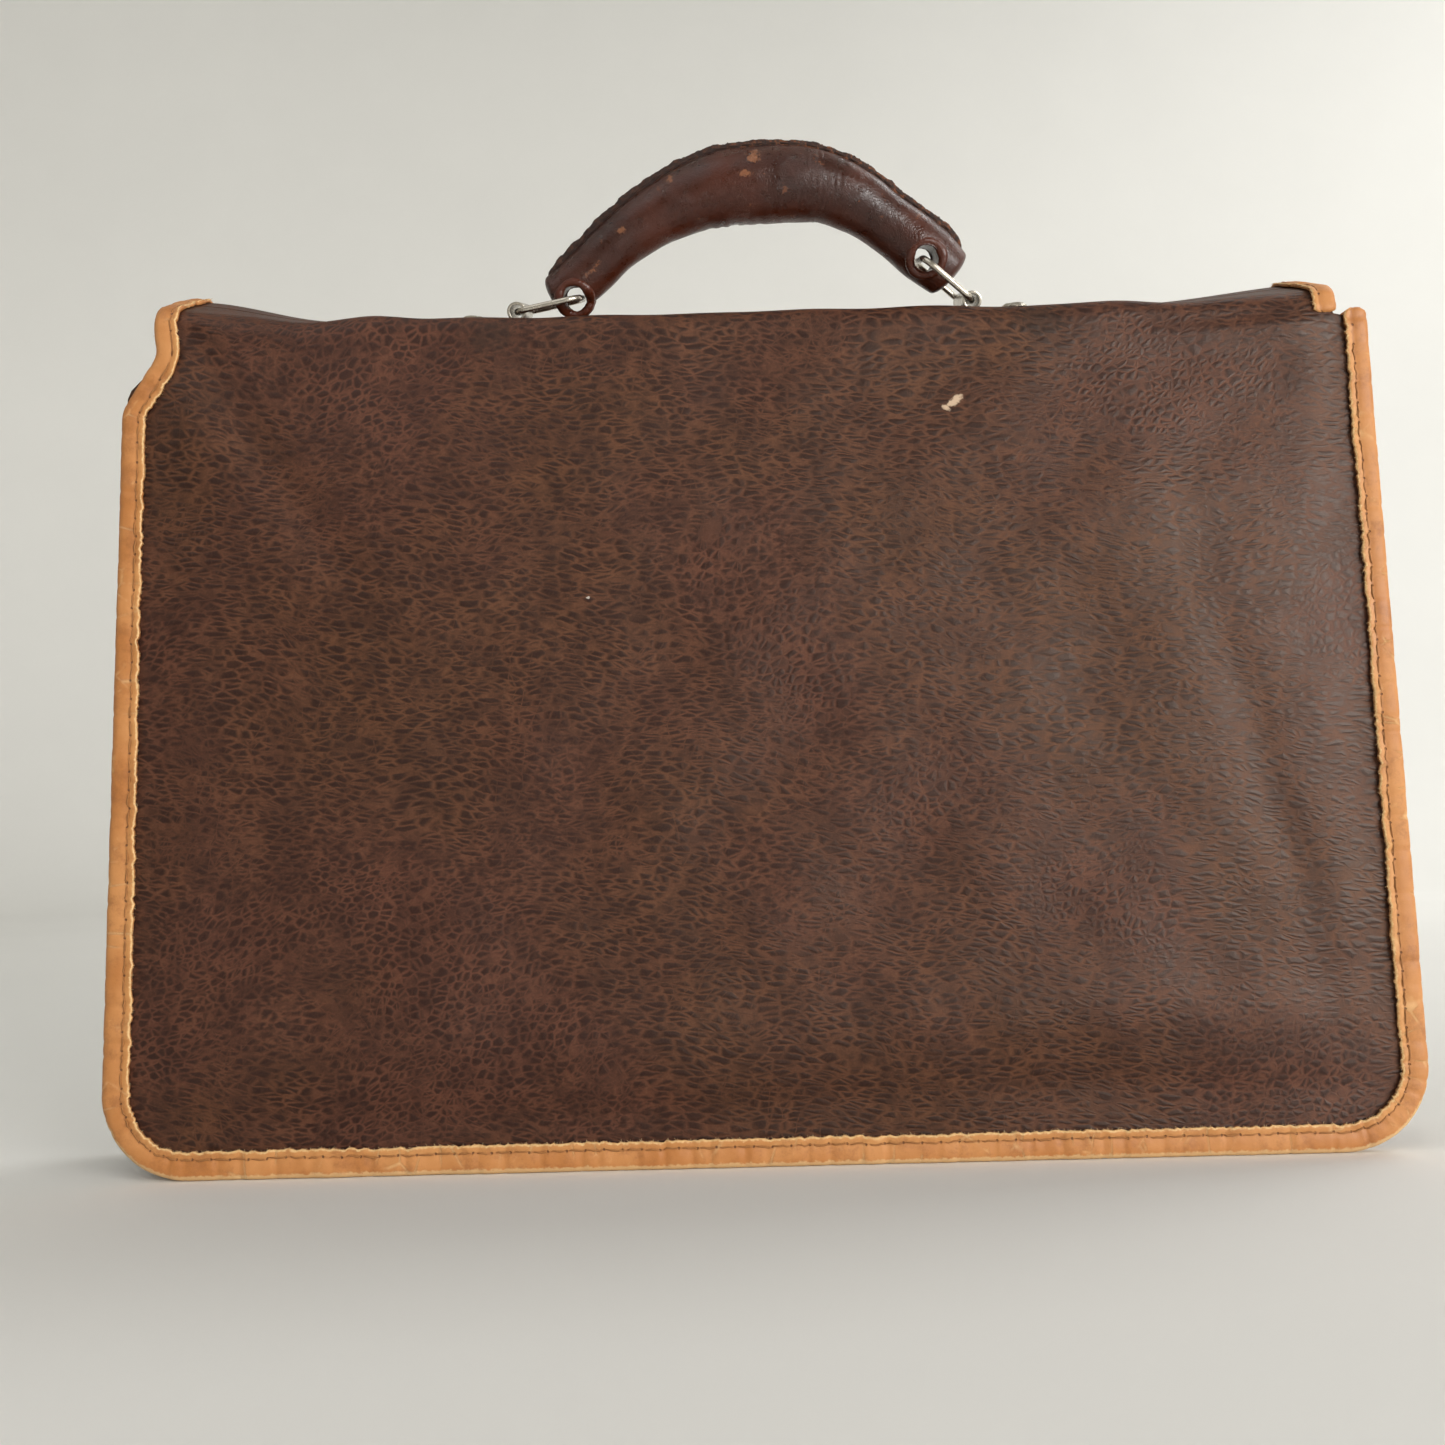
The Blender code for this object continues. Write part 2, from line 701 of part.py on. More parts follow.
def handle(home, pitch):
    cover = grip_tube(grip_line(0, 1, 26), 0)
    cover = as_mesh(add(cover, "handle_cover", HANDLE_LEATHER, home))

    line = grip_line(0.03, 0.97, 24)
    ahead = [b - a for a, b in zip(line, line[1:])]
    ahead.append(ahead[-1])
    ridge = []
    for point, run in zip(line, ahead):
        out = Vector((-run.y, run.x)).normalized()
        ridge.append((point.xy + out * (point.z - 2 * MM), point.xy + out * (point.z + RIDGE_HEIGHT)))
    outline = [a for a, _ in ridge] + [b for _, b in reversed(ridge)]
    combine(cover, as_mesh(plate("ridge", outline, RIDGE_WIDTH, HANDLE_LEATHER, home)), "UNION")

    cavity = as_mesh(add(grip_tube(grip_line(0.07, 0.93, 20), GRIP_WALL), "cavity", FILLING, home))
    combine(cover, cavity, "DIFFERENCE")
    for x in (LEFT_EYE_OFFSET, pitch + RIGHT_EYE_OFFSET):
        combine(cover, drum(EYE_RADIUS, 40 * MM, home, (x, 0, 0), STAND_UP), "DIFFERENCE")
    add(grip_tube(grip_line(0.16, 0.84, 18), GRIP_WALL + GAP), "handle_core", FILLING, home)


def build():
    back_panel()
    back_lining()
    bottom_gusset()
    side_gusset("side_gusset_left", -1)
    side_gusset("side_gusset_right", 1)
    line, radii = BACK_EDGE
    layers = SKIN + GUSSET + 2 * GAP
    binding("back_binding", line, radii, layers, BINDING_TAPE, None, BACK_Y - GAP / 2)

    mouth = mouth_axis()
    front_panel(mouth)
    lock(mouth)
    knob_axis = axis("lock_axis", mouth, (0, FACE + 4.2 * MM, lock_height()))
    knob(knob_axis)

    top, width = top_frame()
    middle = width / 2
    flap_top(top, width)
    bracket("handle_bracket_left", -1, top, middle)
    bracket("handle_bracket_right", 1, top, middle)
    bracket_rivets(top, middle)

    fold_y, fold_z, _ = front_fold()
    front = axis("flap_front_axis", mouth, (0, fold_y, fold_z))
    flap_front(front)

    half = BRACKET_SPACING / 2
    height = tube_height()
    left = axis("ring_left_axis", top, (-half, middle, height), (0, -LEFT_ANGLE, 0))
    right = axis("ring_right_axis", top, (half, middle, height), (0, RIGHT_ANGLE - math.pi, 0))
    ring("ring_left", left)
    ring("ring_right", right)
    start, end = ring_ends()
    run = end - start
    grip = axis("handle_axis", top, (start.x, middle, start.y), (0, -math.atan2(run.y, run.x), 0))
    handle(grip, run.length)


clear_scene()
PARTS = collection("leather_briefcase")
CUTTERS = collection("cutters")
LEATHERETTE = material("brown_leatherette", (0.075, 0.036, 0.024), 0.5)
BINDING_TAPE = material("tan_binding", (0.52, 0.26, 0.09), 0.65)
CLOTH = material("lining_cloth", (0.30, 0.22, 0.15), 0.9)
HANDLE_LEATHER = material("handle_leather", (0.06, 0.018, 0.009), 0.35)
FILLING = material("handle_filling", (0.35, 0.26, 0.16), 0.9)
NICKEL = material("nickel", (0.62, 0.58, 0.50), 0.3, 1.0)
STEEL = material("steel_bar", (0.40, 0.39, 0.38), 0.45, 1.0)
build()
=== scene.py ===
"""Looks of the leather briefcase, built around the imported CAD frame. Lengths are in metres, +Z up.

The soft pieces are rebuilt as fine sheets, bound edges, a gusset and a stuffed grip. Each takes its place
from the CAD joints and boxes, and the metal fittings keep their CAD shapes where these are right.
"""

import json
import math

import bmesh
import bpy
import numpy as np
from mathutils import Matrix, Vector


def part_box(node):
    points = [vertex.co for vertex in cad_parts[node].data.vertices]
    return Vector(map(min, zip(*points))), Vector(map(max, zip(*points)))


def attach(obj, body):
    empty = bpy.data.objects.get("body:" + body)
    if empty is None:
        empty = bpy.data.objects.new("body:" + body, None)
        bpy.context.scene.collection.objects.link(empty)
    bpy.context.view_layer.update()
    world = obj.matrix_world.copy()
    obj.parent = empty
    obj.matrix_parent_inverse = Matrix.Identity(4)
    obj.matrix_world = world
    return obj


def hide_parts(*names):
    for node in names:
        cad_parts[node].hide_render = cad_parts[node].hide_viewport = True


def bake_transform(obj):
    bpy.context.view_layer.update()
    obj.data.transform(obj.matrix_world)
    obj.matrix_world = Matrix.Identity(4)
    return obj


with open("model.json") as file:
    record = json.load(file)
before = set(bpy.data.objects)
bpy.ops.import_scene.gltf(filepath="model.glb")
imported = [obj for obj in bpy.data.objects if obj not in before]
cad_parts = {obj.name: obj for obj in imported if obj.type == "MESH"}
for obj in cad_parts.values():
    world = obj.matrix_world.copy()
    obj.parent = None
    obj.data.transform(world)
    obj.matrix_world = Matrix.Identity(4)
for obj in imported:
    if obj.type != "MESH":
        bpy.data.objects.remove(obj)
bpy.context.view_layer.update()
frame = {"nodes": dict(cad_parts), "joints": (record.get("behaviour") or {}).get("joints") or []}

MM = 0.001

# ---------------------------------------------------------------- frames, from the CAD joints

JOINTS = {j["name"]: j for j in frame["joints"]}
AT = {name: Vector(j["pos_m"]) for name, j in JOINTS.items()}
EX = Vector((1, 0, 0))
FOLD_BACK = AT["flap_top_fold"]
FOLD_FRONT = AT["flap_front_fold"]
TOP_RUN = (FOLD_FRONT - FOLD_BACK).normalized()
TOP_UP = EX.cross(TOP_RUN)
TOP_WIDTH = (FOLD_FRONT - FOLD_BACK).length
FRONT_OUT = Vector(JOINTS["lock_turn"]["axis"]).normalized()
FRONT_UP = EX.cross(FRONT_OUT)
MOUTH = AT["mouth_opening"]


def frame_matrix(origin, x, y, z):
    m = Matrix((x, y, z)).transposed().to_4x4()
    m.translation = origin
    return m


BACK = frame_matrix(Vector((0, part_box("back_panel")[0].y, 0)), EX, Vector((0, 1, 0)), Vector((0, 0, 1)))
TOP = frame_matrix(FOLD_BACK, EX, TOP_RUN, TOP_UP)
FRONT = frame_matrix(MOUTH, EX, FRONT_OUT, FRONT_UP)
FLAP = frame_matrix(FOLD_FRONT, EX, FRONT_OUT, FRONT_UP)

SKIN = 1.6 * MM
FOLD_HEIGHT = FOLD_BACK.z
FLAP_HALF = 182 * MM
FLAP_LENGTH = 150 * MM
FRONT_FACE = 3.05 * MM  # the front panel's face, from the mouth's axis
FRONT_TOP = 232 * MM
LOCK_DROP = 124 * MM
BAR_HALF = 172 * MM
RADIUS = 26 * MM


def half_width(z):
    return (197 - 6 * z / (256 * MM)) * MM


def smooth(a, b, x):
    t = np.clip((x - a) / (b - a), 0, 1)
    return t * t * (3 - 2 * t)


def waves(a, b, size, seed):
    """Smooth noise between about -1 and 1 over two coordinates, from a few sine waves."""
    rng = np.random.default_rng(seed)
    turns, phases, stretches = rng.uniform(0, 6.28, 9), rng.uniform(0, 6.28, 9), rng.uniform(0.6, 1.7, 9)
    total = 0
    for turn, phase, stretch in zip(turns, phases, stretches):
        k = 2 * math.pi / (size * stretch)
        total = total + np.sin(k * (a * math.cos(turn) + b * math.sin(turn)) + phase)
    return total / 4.2


def rise(points):
    """Both ends of the case's top stand up from its sagging middle, and the back fold has a soft ridge that
    hides the foot of the handle's brackets. points is an array of world points."""
    points = np.array(points, float)
    x, y, z = (points[..., k] / MM for k in range(3))
    left = 2.2 * smooth(96, 118, -x) + 8.3 * smooth(130, 178, -x)
    right = 1.5 * smooth(96, 120, x) + 6.0 * smooth(125, 188, x)
    y_back, y_front = FOLD_BACK.y / MM, FOLD_FRONT.y / MM
    deep = 0.56 + 0.44 * np.clip((y - y_back) / (y_front - y_back), 0, 1)
    points[..., 2] += (left + right) * deep * smooth(203, 256, z) * MM
    ridge = (2.5 + 0.25 * np.sin(x / 23)) * (1 - smooth(112, 150, np.abs(x)))
    points[..., 2] += ridge * (1 - smooth(0.8, 4.2, y - y_back)) * smooth(243, 257, z) * MM
    return points


class Bend:
    """A sheet's middle surface round a fold. It places points given as (x, height over the sheet's middle,
    distance along the sheet past the fold)."""

    def __init__(self, at, before, after, radius):
        self.at = np.array([at.y, at.z])
        self.before = np.array([before.y, before.z])
        self.after = np.array([after.y, after.z])
        self.turn = math.acos(np.clip(self.before @ self.after, -1, 1))
        self.radius = radius
        self.reach = radius * math.tan(self.turn / 2)

    def __call__(self, points):
        points = np.asarray(points, float)
        s, high = points[..., 2], points[..., 1]
        angle = np.clip((s + self.reach) / (2 * self.reach), 0, 1) * self.turn
        first = np.array([-self.before[1], self.before[0]])
        centre = self.at - self.before * self.reach - first * self.radius
        c, d = np.cos(angle), np.sin(angle)
        out = np.stack([c * first[0] + d * self.before[0], c * first[1] + d * self.before[1]], axis=-1)
        place = centre + out * (self.radius + high)[..., None]
        place = place + self.before * np.minimum(s + self.reach, 0)[..., None]
        place = place + self.after * np.maximum(s - self.reach, 0)[..., None]
        return rise(np.stack([points[..., 0], place[..., 0], place[..., 1]], axis=-1))


class Flat:
    """A flat sheet's middle surface in a frame. It places points as a Bend does."""

    def __init__(self, matrix, middle, sign):
        self.matrix = matrix
        self.middle = middle
        self.sign = sign

    def __call__(self, points):
        points = np.array(points, float)
        points[..., 1] = self.middle + self.sign * points[..., 1]
        return transformed(self.matrix, points)


# ---------------------------------------------------------------- meshes


def new_object(name, mesh):
    obj = bpy.data.objects.new(name, mesh)
    bpy.context.scene.collection.objects.link(obj)
    return obj


def transformed(matrix, points):
    m = np.array(matrix)
    return np.asarray(points) @ m[:3, :3].T + m[:3, 3]


def grid(*values):
    """Arrays that broadcast together, as one array of points."""
    return np.stack(np.broadcast_arrays(*values), axis=-1)


def inward_of(line):
    """Unit vectors to the left of a 2D line, at each of its points."""
    run = np.gradient(line, axis=0)
    run /= np.linalg.norm(run, axis=1)[:, None]
    return np.stack([-run[:, 1], run[:, 0]], axis=1)


def surface(name, points, uv, wrap=False, caps=False):
    """A mesh through a grid of points. uv has one more column than points where the grid wraps."""
    rows, cols = points.shape[:2]
    ids = np.arange(rows * cols).reshape(rows, cols)
    right = np.roll(ids, -1, axis=1) if wrap else ids[:, 1:]
    left = ids if wrap else ids[:, :-1]
    polygons = np.stack([left[:-1], left[1:], right[1:], right[:-1]], axis=-1).reshape(-1, 4).tolist()
    n = left.shape[1]
    corners = [uv[:-1, :n], uv[1:, :n], uv[1:, 1 : n + 1], uv[:-1, 1 : n + 1]]
    loops = np.stack(corners, axis=2).reshape(-1, 2)
    if caps:
        polygons += [ids[0][::-1].tolist(), ids[-1].tolist()]
        loops = np.concatenate([loops, uv[0, :cols][::-1], uv[-1, :cols]])
    mesh = bpy.data.meshes.new(name)
    mesh.from_pydata(points.reshape(-1, 3).tolist(), [], polygons)
    layer = mesh.uv_layers.new(name="UVMap")
    layer.data.foreach_set("uv", loops.astype(np.float32).ravel())
    if caps:
        outward(mesh)
    mesh.shade_smooth()
    return new_object(name, mesh)


def outward(mesh, weld=0):
    """Turns a closed mesh's faces outwards, once points closer than weld are joined."""
    work = bmesh.new()
    work.from_mesh(mesh)
    if weld:
        bmesh.ops.remove_doubles(work, verts=work.verts, dist=weld)
    bmesh.ops.recalc_face_normals(work, faces=work.faces)
    work.to_mesh(mesh)
    work.free()


def applied(obj):
    """The object with its modifiers made part of its mesh."""
    graph = bpy.context.evaluated_depsgraph_get()
    mesh = bpy.data.meshes.new_from_object(obj.evaluated_get(graph))
    old = obj.data
    obj.modifiers.clear()
    obj.data = mesh
    bpy.data.meshes.remove(old)
    mesh.name = obj.name
    return obj


def thicken(obj, thickness, offset=-1):
    """Gives an open sheet its thickness, behind the face that shows or, at offset 0, on both sides."""
    solid = obj.modifiers.new("thickness", "SOLIDIFY")
    solid.thickness = thickness
    solid.offset = offset
    return applied(obj)


def cut(obj, cutter):
    step = obj.modifiers.new("cut", "BOOLEAN")
    step.operation = "DIFFERENCE"
    step.object = cutter
    applied(obj)
    bpy.data.objects.remove(cutter, do_unlink=True)
    return obj


def prism(outline, low, high, matrix):
    """A closed block on an outline of local (x, z) points, between two local y values."""
    work = bmesh.new()
    rings = [[work.verts.new(matrix @ Vector((x, y, z))) for x, z in outline] for y in (low, high)]
    work.faces.new(rings[0])
    work.faces.new(rings[1][::-1])
    for i in range(len(outline)):
        j = (i + 1) % len(outline)
        work.faces.new((rings[0][i], rings[1][i], rings[1][j], rings[0][j]))
    bmesh.ops.recalc_face_normals(work, faces=work.faces)
    mesh = bpy.data.meshes.new("prism")
    work.to_mesh(mesh)
    work.free()
    return new_object("prism", mesh)


def rounded(points, radii, step):
    """An open line of 2D points with round corners, resampled at about the step."""
    out = [np.array(points[0], float)]
    for i, radius in enumerate(radii, start=1):
        before, here, after = (np.array(p, float) for p in points[i - 1 : i + 2])
        if radius <= 0:
            out.append(here)
            continue
        back = (before - here) / np.linalg.norm(before - here)
        ahead = (after - here) / np.linalg.norm(after - here)
        half = math.acos(np.clip(back @ ahead, -1, 1)) / 2
        middle = (back + ahead) / np.linalg.norm(back + ahead)
        centre = here + middle * radius / math.sin(half)
        reach = radius / math.tan(half)
        start, end = here + back * reach - centre, here + ahead * reach - centre
        sweep = math.pi - 2 * half
        for k in range(25):
            t = k / 24
            weights = math.sin((1 - t) * sweep) / math.sin(sweep), math.sin(t * sweep) / math.sin(sweep)
            out.append(centre + start * weights[0] + end * weights[1])
    out.append(np.array(points[-1], float))
    out = np.array(out)
    lengths = np.concatenate([[0], np.cumsum(np.linalg.norm(np.diff(out, axis=0), axis=1))])
    count = max(2, int(round(lengths[-1] / step)) + 1)
    at = np.linspace(0, lengths[-1], count)
    return np.stack([np.interp(at, lengths, out[:, k]) for k in (0, 1)], axis=1), at


def slab(half_x, half_z, radius, z=0.0):
    """A closed rectangle with round corners."""
    low, high = z - half_z, z + half_z
    corners = [(-half_x, z), (-half_x, low), (half_x, low), (half_x, high), (-half_x, high), (-half_x, z)]
    return rounded(corners, [radius] * 4, 0.8 * MM)[0][:-1]


# ---------------------------------------------------------------- materials


class Look:
    """A node material, built up from its Principled shader."""

    def __init__(self, name):
        self.material = bpy.data.materials.new(name)
        self.material.use_nodes = True
        self.tree = self.material.node_tree
        self.shader = self.tree.nodes["Principled BSDF"]

    def feed(self, socket, value):
        if isinstance(value, bpy.types.NodeSocket):
            self.tree.links.new(value, socket)
        elif isinstance(value, tuple) and len(value) == 3 and socket.type == "RGBA":
            socket.default_value = (*value, 1)
        else:
            socket.default_value = value

    def add(self, kind, inputs, output=0, **settings):
        node = self.tree.nodes.new("ShaderNode" + kind)
        for key, value in settings.items():
            setattr(node, key, value)
        for key, value in inputs.items():
            self.feed(node.inputs[key], value)
        return node.outputs[output]

    def uv(self):
        return self.add("UVMap", {}, uv_map="UVMap")

    def position(self):
        return self.add("TexCoord", {}, "Object")

    def mapped(self, vector, size, turn=0.0, shift=(0, 0, 0)):
        """The vector in cells of the given size, along axes turned about Z."""
        inputs = {"Vector": vector, "Scale": size, "Rotation": (0, 0, turn), "Location": shift}
        return self.add("Mapping", inputs, vector_type="TEXTURE")

    def math(self, operation, a, b=0.0):
        return self.add("Math", {0: a, 1: b, 2: 0.0}, operation=operation)

    def plus(self, a, b):
        return self.math("ADD", a, b)

    def minus(self, a, b):
        return self.math("SUBTRACT", a, b)

    def times(self, a, b):
        return self.math("MULTIPLY", a, b)

    def noise(self, vector, scale, detail=3.0, rough=0.55, output="Fac"):
        inputs = {"Vector": vector, "Scale": scale, "Detail": detail, "Roughness": rough}
        return self.add("TexNoise", inputs, output)

    def edges(self, vector, scale=1.0):
        """How far a point is from the edge of its cell."""
        inputs = {"Vector": vector, "Scale": scale, "Randomness": 1.0}
        return self.add("TexVoronoi", inputs, "Distance", feature="DISTANCE_TO_EDGE")

    def ramp(self, value, low, high, start=0.0, end=1.0):
        inputs = {"Value": value, "From Min": low, "From Max": high, "To Min": start, "To Max": end}
        return self.add("MapRange", inputs, "Result", interpolation_type="SMOOTHSTEP")

    def mix(self, share, a, b):
        return self.add("Mix", {0: share, 6: a, 7: b}, 2, data_type="RGBA")

    def tint(self, colour, share, strength, tone):
        """The colour with a tone over it, where share says."""
        return self.mix(self.times(share, strength), colour, tone)

    def warped(self, vector, scale, amount):
        """The vector moved about by a noise of its own size."""
        colour = self.noise(vector, scale, 2.0, 0.5, "Color")
        moved = self.add("VectorMath", {0: colour, 1: (0.5, 0.5, 0.5)}, operation="SUBTRACT")
        scaled = self.add("VectorMath", {0: moved, "Scale": amount}, operation="SCALE")
        return self.add("VectorMath", {0: vector, 1: scaled}, operation="ADD")

    def bump(self, height, distance, strength=1.0):
        inputs = {"Height": height, "Distance": distance, "Strength": strength}
        normal = self.shader.inputs["Normal"]
        if normal.is_linked:
            inputs["Normal"] = normal.links[0].from_socket
        self.feed(normal, self.add("Bump", inputs))

    def shade(self, colour, rough):
        self.feed(self.shader.inputs["Base Color"], colour)
        self.feed(self.shader.inputs["Roughness"], rough)


def srgb(r, g, b):
    return tuple(((c / 255 + 0.055) / 1.055) ** 2.4 if c > 10 else c / 255 / 12.92 for c in (r, g, b))


def leatherette(name, marked=False):
    """Coated leather: dark flat grains, a network of paler creases between them and longer lines across."""
    look = Look(name)
    uv = look.uv()
    place = look.warped(look.warped(look.warped(uv, 20, 13 * MM), 150, 1.5 * MM), 620, 0.5 * MM)
    flat_cells = look.edges(look.mapped(place, (5.0 * MM, 1.7 * MM, 1), -0.1))
    round_cells = look.edges(look.mapped(place, (3.1 * MM, 2.0 * MM, 1), 0.3))
    which = look.ramp(look.noise(uv, 10, 2.0), 0.48, 0.62)
    cells = look.add("Mix", {0: which, 2: flat_cells, 3: round_cells}, 0)
    broken = look.ramp(look.noise(uv, 240), 0.3, 0.6, 0.5, 1.0)
    crease = look.times(look.ramp(cells, 0.0, 0.25, 1.0, 0.0), broken)
    for turn, size, shift in ((0.80, (14, 3.4), 3), (-0.75, (15, 3.8), 7), (1.35, (12, 4.2), 12)):
        cell = (size[0] * MM, size[1] * MM, 1)
        line = look.edges(look.mapped(place, cell, turn, (shift, shift, 0)))
        patches = look.noise(look.mapped(uv, (1, 1, 1), 0, (shift, 0, 0)), 34, 2.0)
        where = look.ramp(patches, 0.48, 0.68, 0.0, 0.8)
        thin = look.ramp(line, 0.0, 0.075, 1.0, 0.0)
        crease = look.math("MAXIMUM", crease, look.times(thin, where))
    fine = look.noise(uv, 1500, 3.0, 0.7)
    tone = look.noise(uv, 10, 3.0)
    ruddy = look.ramp(tone, 0.36, 0.64)
    dark = look.mix(ruddy, srgb(34, 13, 6), srgb(38, 14, 9))
    pale = look.mix(ruddy, srgb(88, 53, 31), srgb(90, 52, 37))
    worn = look.times(crease, look.ramp(look.noise(uv, 75, 4.0), 0.3, 0.65, 0.55, 1.0))
    colour = look.mix(worn, dark, pale)
    flecks = look.mix(worn, srgb(66, 36, 23), srgb(106, 72, 50))
    colour = look.mix(look.ramp(fine, 0.42, 0.72, 0.0, 0.45), colour, flecks)
    if marked:
        colour = handling_marks(look, uv, colour)
    look.shade(colour, look.ramp(crease, 0, 1, 0.46, 0.58))
    look.shader.inputs["Specular IOR Level"].default_value = 0.42
    look.shader.inputs["Specular Tint"].default_value = (1.0, 0.86, 0.76, 1)
    pillow = look.minus(look.ramp(cells, 0.0, 0.5), look.times(crease, 0.25))
    look.bump(pillow, 0.2 * MM, 0.5)
    look.bump(fine, 0.05 * MM, 0.4)
    return look.material


def handling_marks(look, uv, colour):
    """A small scrape down to the cloth, two dull smudges and a speck."""
    ragged = look.noise(uv, 620, 4.0, 0.7)
    marks = (
        ((63, 228), (3.6, 1.5), 0.6, 0.55, srgb(205, 178, 150), 0.9),
        ((60.5, 226), (1.6, 0.9), -0.4, 0.5, srgb(205, 178, 150), 0.8),
        ((90, 252), (9, 5), 0.0, 0.45, srgb(30, 20, 16), 0.5),
        ((-78, 251), (8, 5), 0.3, 0.45, srgb(32, 22, 17), 0.4),
        ((-49.5, 170), (0.6, 0.5), 0.0, 0.3, srgb(190, 180, 170), 0.9),
    )
    for (x, z), (long, short), turn, soft, tint, depth in marks:
        local = look.mapped(uv, (long * MM, short * MM, 1), turn, (x * MM, z * MM, 0))
        away = look.add("VectorMath", {0: local}, "Value", operation="LENGTH")
        edge = look.plus(away, look.times(look.minus(ragged, 0.5), 2.2))
        inside = look.ramp(edge, 1.0 - soft, 1.0, depth, 0.0)
        colour = look.mix(inside, colour, tint)
    return colour


def tape():
    """Tan binding: smooth face, cracks across it, a pale raw edge and stitch holes, with painted shade in the
    holes and along the stitch line's groove. UV is (length, share).
    """
    look = Look("tan_binding")
    split = look.add("SeparateXYZ", {0: look.uv()}).node
    along, share = split.outputs["X"], look.math("ABSOLUTE", split.outputs["Y"])
    place = look.position()
    tone = look.noise(place, 45, 4.0, 0.6)
    colour = look.mix(look.ramp(tone, 0.3, 0.7), srgb(181, 116, 58), srgb(200, 138, 80))
    strip = look.ramp(share, 0.72, 0.80)
    colour = look.tint(colour, strip, 0.3, srgb(214, 158, 96))
    grime = look.ramp(look.noise(place, 110, 6.0, 0.75), 0.47, 0.68)
    colour = look.tint(colour, grime, 0.5, srgb(142, 86, 44))
    lines = look.edges(look.mapped(look.warped(look.uv(), 300, 1.4 * MM), (7.5 * MM, 1.6, 1)))
    crack = look.times(look.ramp(lines, 0.0, 0.05, 1, 0), look.ramp(look.noise(place, 90), 0.5, 0.62))
    colour = look.tint(colour, crack, 0.55, srgb(222, 178, 122))
    frayed = look.noise(place, 800, 4.0, 0.75)
    raw = look.ramp(look.plus(share, look.times(frayed, 0.26)), 1.045, 1.12)
    colour = look.mix(raw, colour, srgb(226, 186, 128))
    foot = look.ramp(look.add("SeparateXYZ", {0: place}, "Z"), 2 * MM, 30 * MM, 1.0, 0.0)
    rubbed = look.noise(place, 520, 4.0, 0.7)
    reach = look.plus(look.times(rubbed, 0.30), look.times(foot, 0.16))
    worn = look.ramp(look.minus(reach, share), 0.08, 0.16)
    colour = look.tint(colour, worn, 0.65, srgb(222, 190, 138))
    pitch = look.math("PINGPONG", along, 2.75 * MM)
    offset = look.times(look.minus(share, 0.735), 8.2 * MM)
    # stitch holes: a dent in the bump, and painted shade in the colour below
    hole = look.plus(look.times(pitch, pitch), look.times(offset, offset))
    hole = look.ramp(look.math("SQRT", hole), 0.2 * MM, 0.5 * MM, 1, 0)
    # painted shade: the colour is darkened along the stitch line's groove, then in the stitch holes
    groove_shade = look.ramp(look.math("ABSOLUTE", offset), 0.15 * MM, 0.55 * MM, 1, 0)
    colour = look.tint(colour, groove_shade, 0.3, srgb(146, 90, 46))
    colour = look.tint(colour, hole, 0.7, srgb(84, 50, 28))
    look.shade(colour, look.ramp(tone, 0.3, 0.7, 0.5, 0.68))
    look.bump(look.minus(1.0, crack), 0.15 * MM, 0.6)
    look.bump(look.noise(place, 1500, 4.0, 0.65), 0.1 * MM, 0.6)
    look.bump(look.minus(1.0, hole), 0.4 * MM, 0.8)
    return look.material


def handle_leather():
    """Dark glossy leather, polished by the hand, with scuffs down to the tan hide."""
    look = Look("handle_leather")
    place = look.position()
    split = look.add("SeparateXYZ", {0: look.uv()}).node
    along, around = split.outputs["X"], split.outputs["Y"]
    tone = look.noise(place, 60, 4.0, 0.6)
    colour = look.mix(look.ramp(tone, 0.3, 0.7), srgb(46, 18, 8), srgb(70, 31, 17))
    colour = look.mix(look.ramp(around, 0.55, 1.0, 0.0, 0.6), colour, srgb(84, 34, 13))
    ragged = look.noise(look.warped(place, 300, 3 * MM), 330, 4.0, 0.7)
    scuffs = (  # place along the grip and round it, length and width
        (17, 0.52, 2.4, 1.3),
        (31, 0.42, 2.0, 1.5),
        (50, 0.22, 1.6, 2.0),
        (74, 0.24, 2.2, 2.2),
        (71, 0.42, 2.6, 1.2),
    )
    for s, turn, long, short in scuffs:
        u = look.math("DIVIDE", look.minus(along, s * MM), long * MM)
        v = look.math("DIVIDE", look.minus(around, turn), short / 33)
        away = look.math("SQRT", look.plus(look.times(u, u), look.times(v, v)))
        edge = look.plus(away, look.times(look.minus(ragged, 0.5), 5.0))
        colour = look.mix(look.ramp(edge, 0.45, 1.0, 0.75, 0.0), colour, srgb(142, 92, 62))
    small = look.ramp(look.noise(look.warped(place, 300, 3 * MM), 190, 4.0, 0.7), 0.655, 0.69)
    colour = look.tint(colour, small, 0.6, srgb(128, 76, 46))
    scratch = look.edges(look.mapped(look.warped(look.uv(), 200, 4 * MM), (14 * MM, 2.5 * MM, 1), 0.7))
    scratch = look.times(look.ramp(scratch, 0.0, 0.05, 1, 0), look.ramp(look.noise(place, 70), 0.5, 0.6))
    colour = look.tint(colour, scratch, 0.3, srgb(104, 62, 44))
    look.shade(colour, look.ramp(look.noise(place, 240, 4.0, 0.6), 0.3, 0.7, 0.24, 0.42))
    look.shader.inputs["Specular IOR Level"].default_value = 0.45
    grain = look.edges(look.warped(place, 400, 1.5 * MM), 900)
    look.bump(look.ramp(grain, 0.0, 0.2), 0.06 * MM, 0.5)
    look.bump(look.minus(1.0, scratch), 0.1 * MM, 0.5)
    look.bump(look.noise(place, 260, 5.0, 0.6), 0.4 * MM, 0.6)
    return look.material


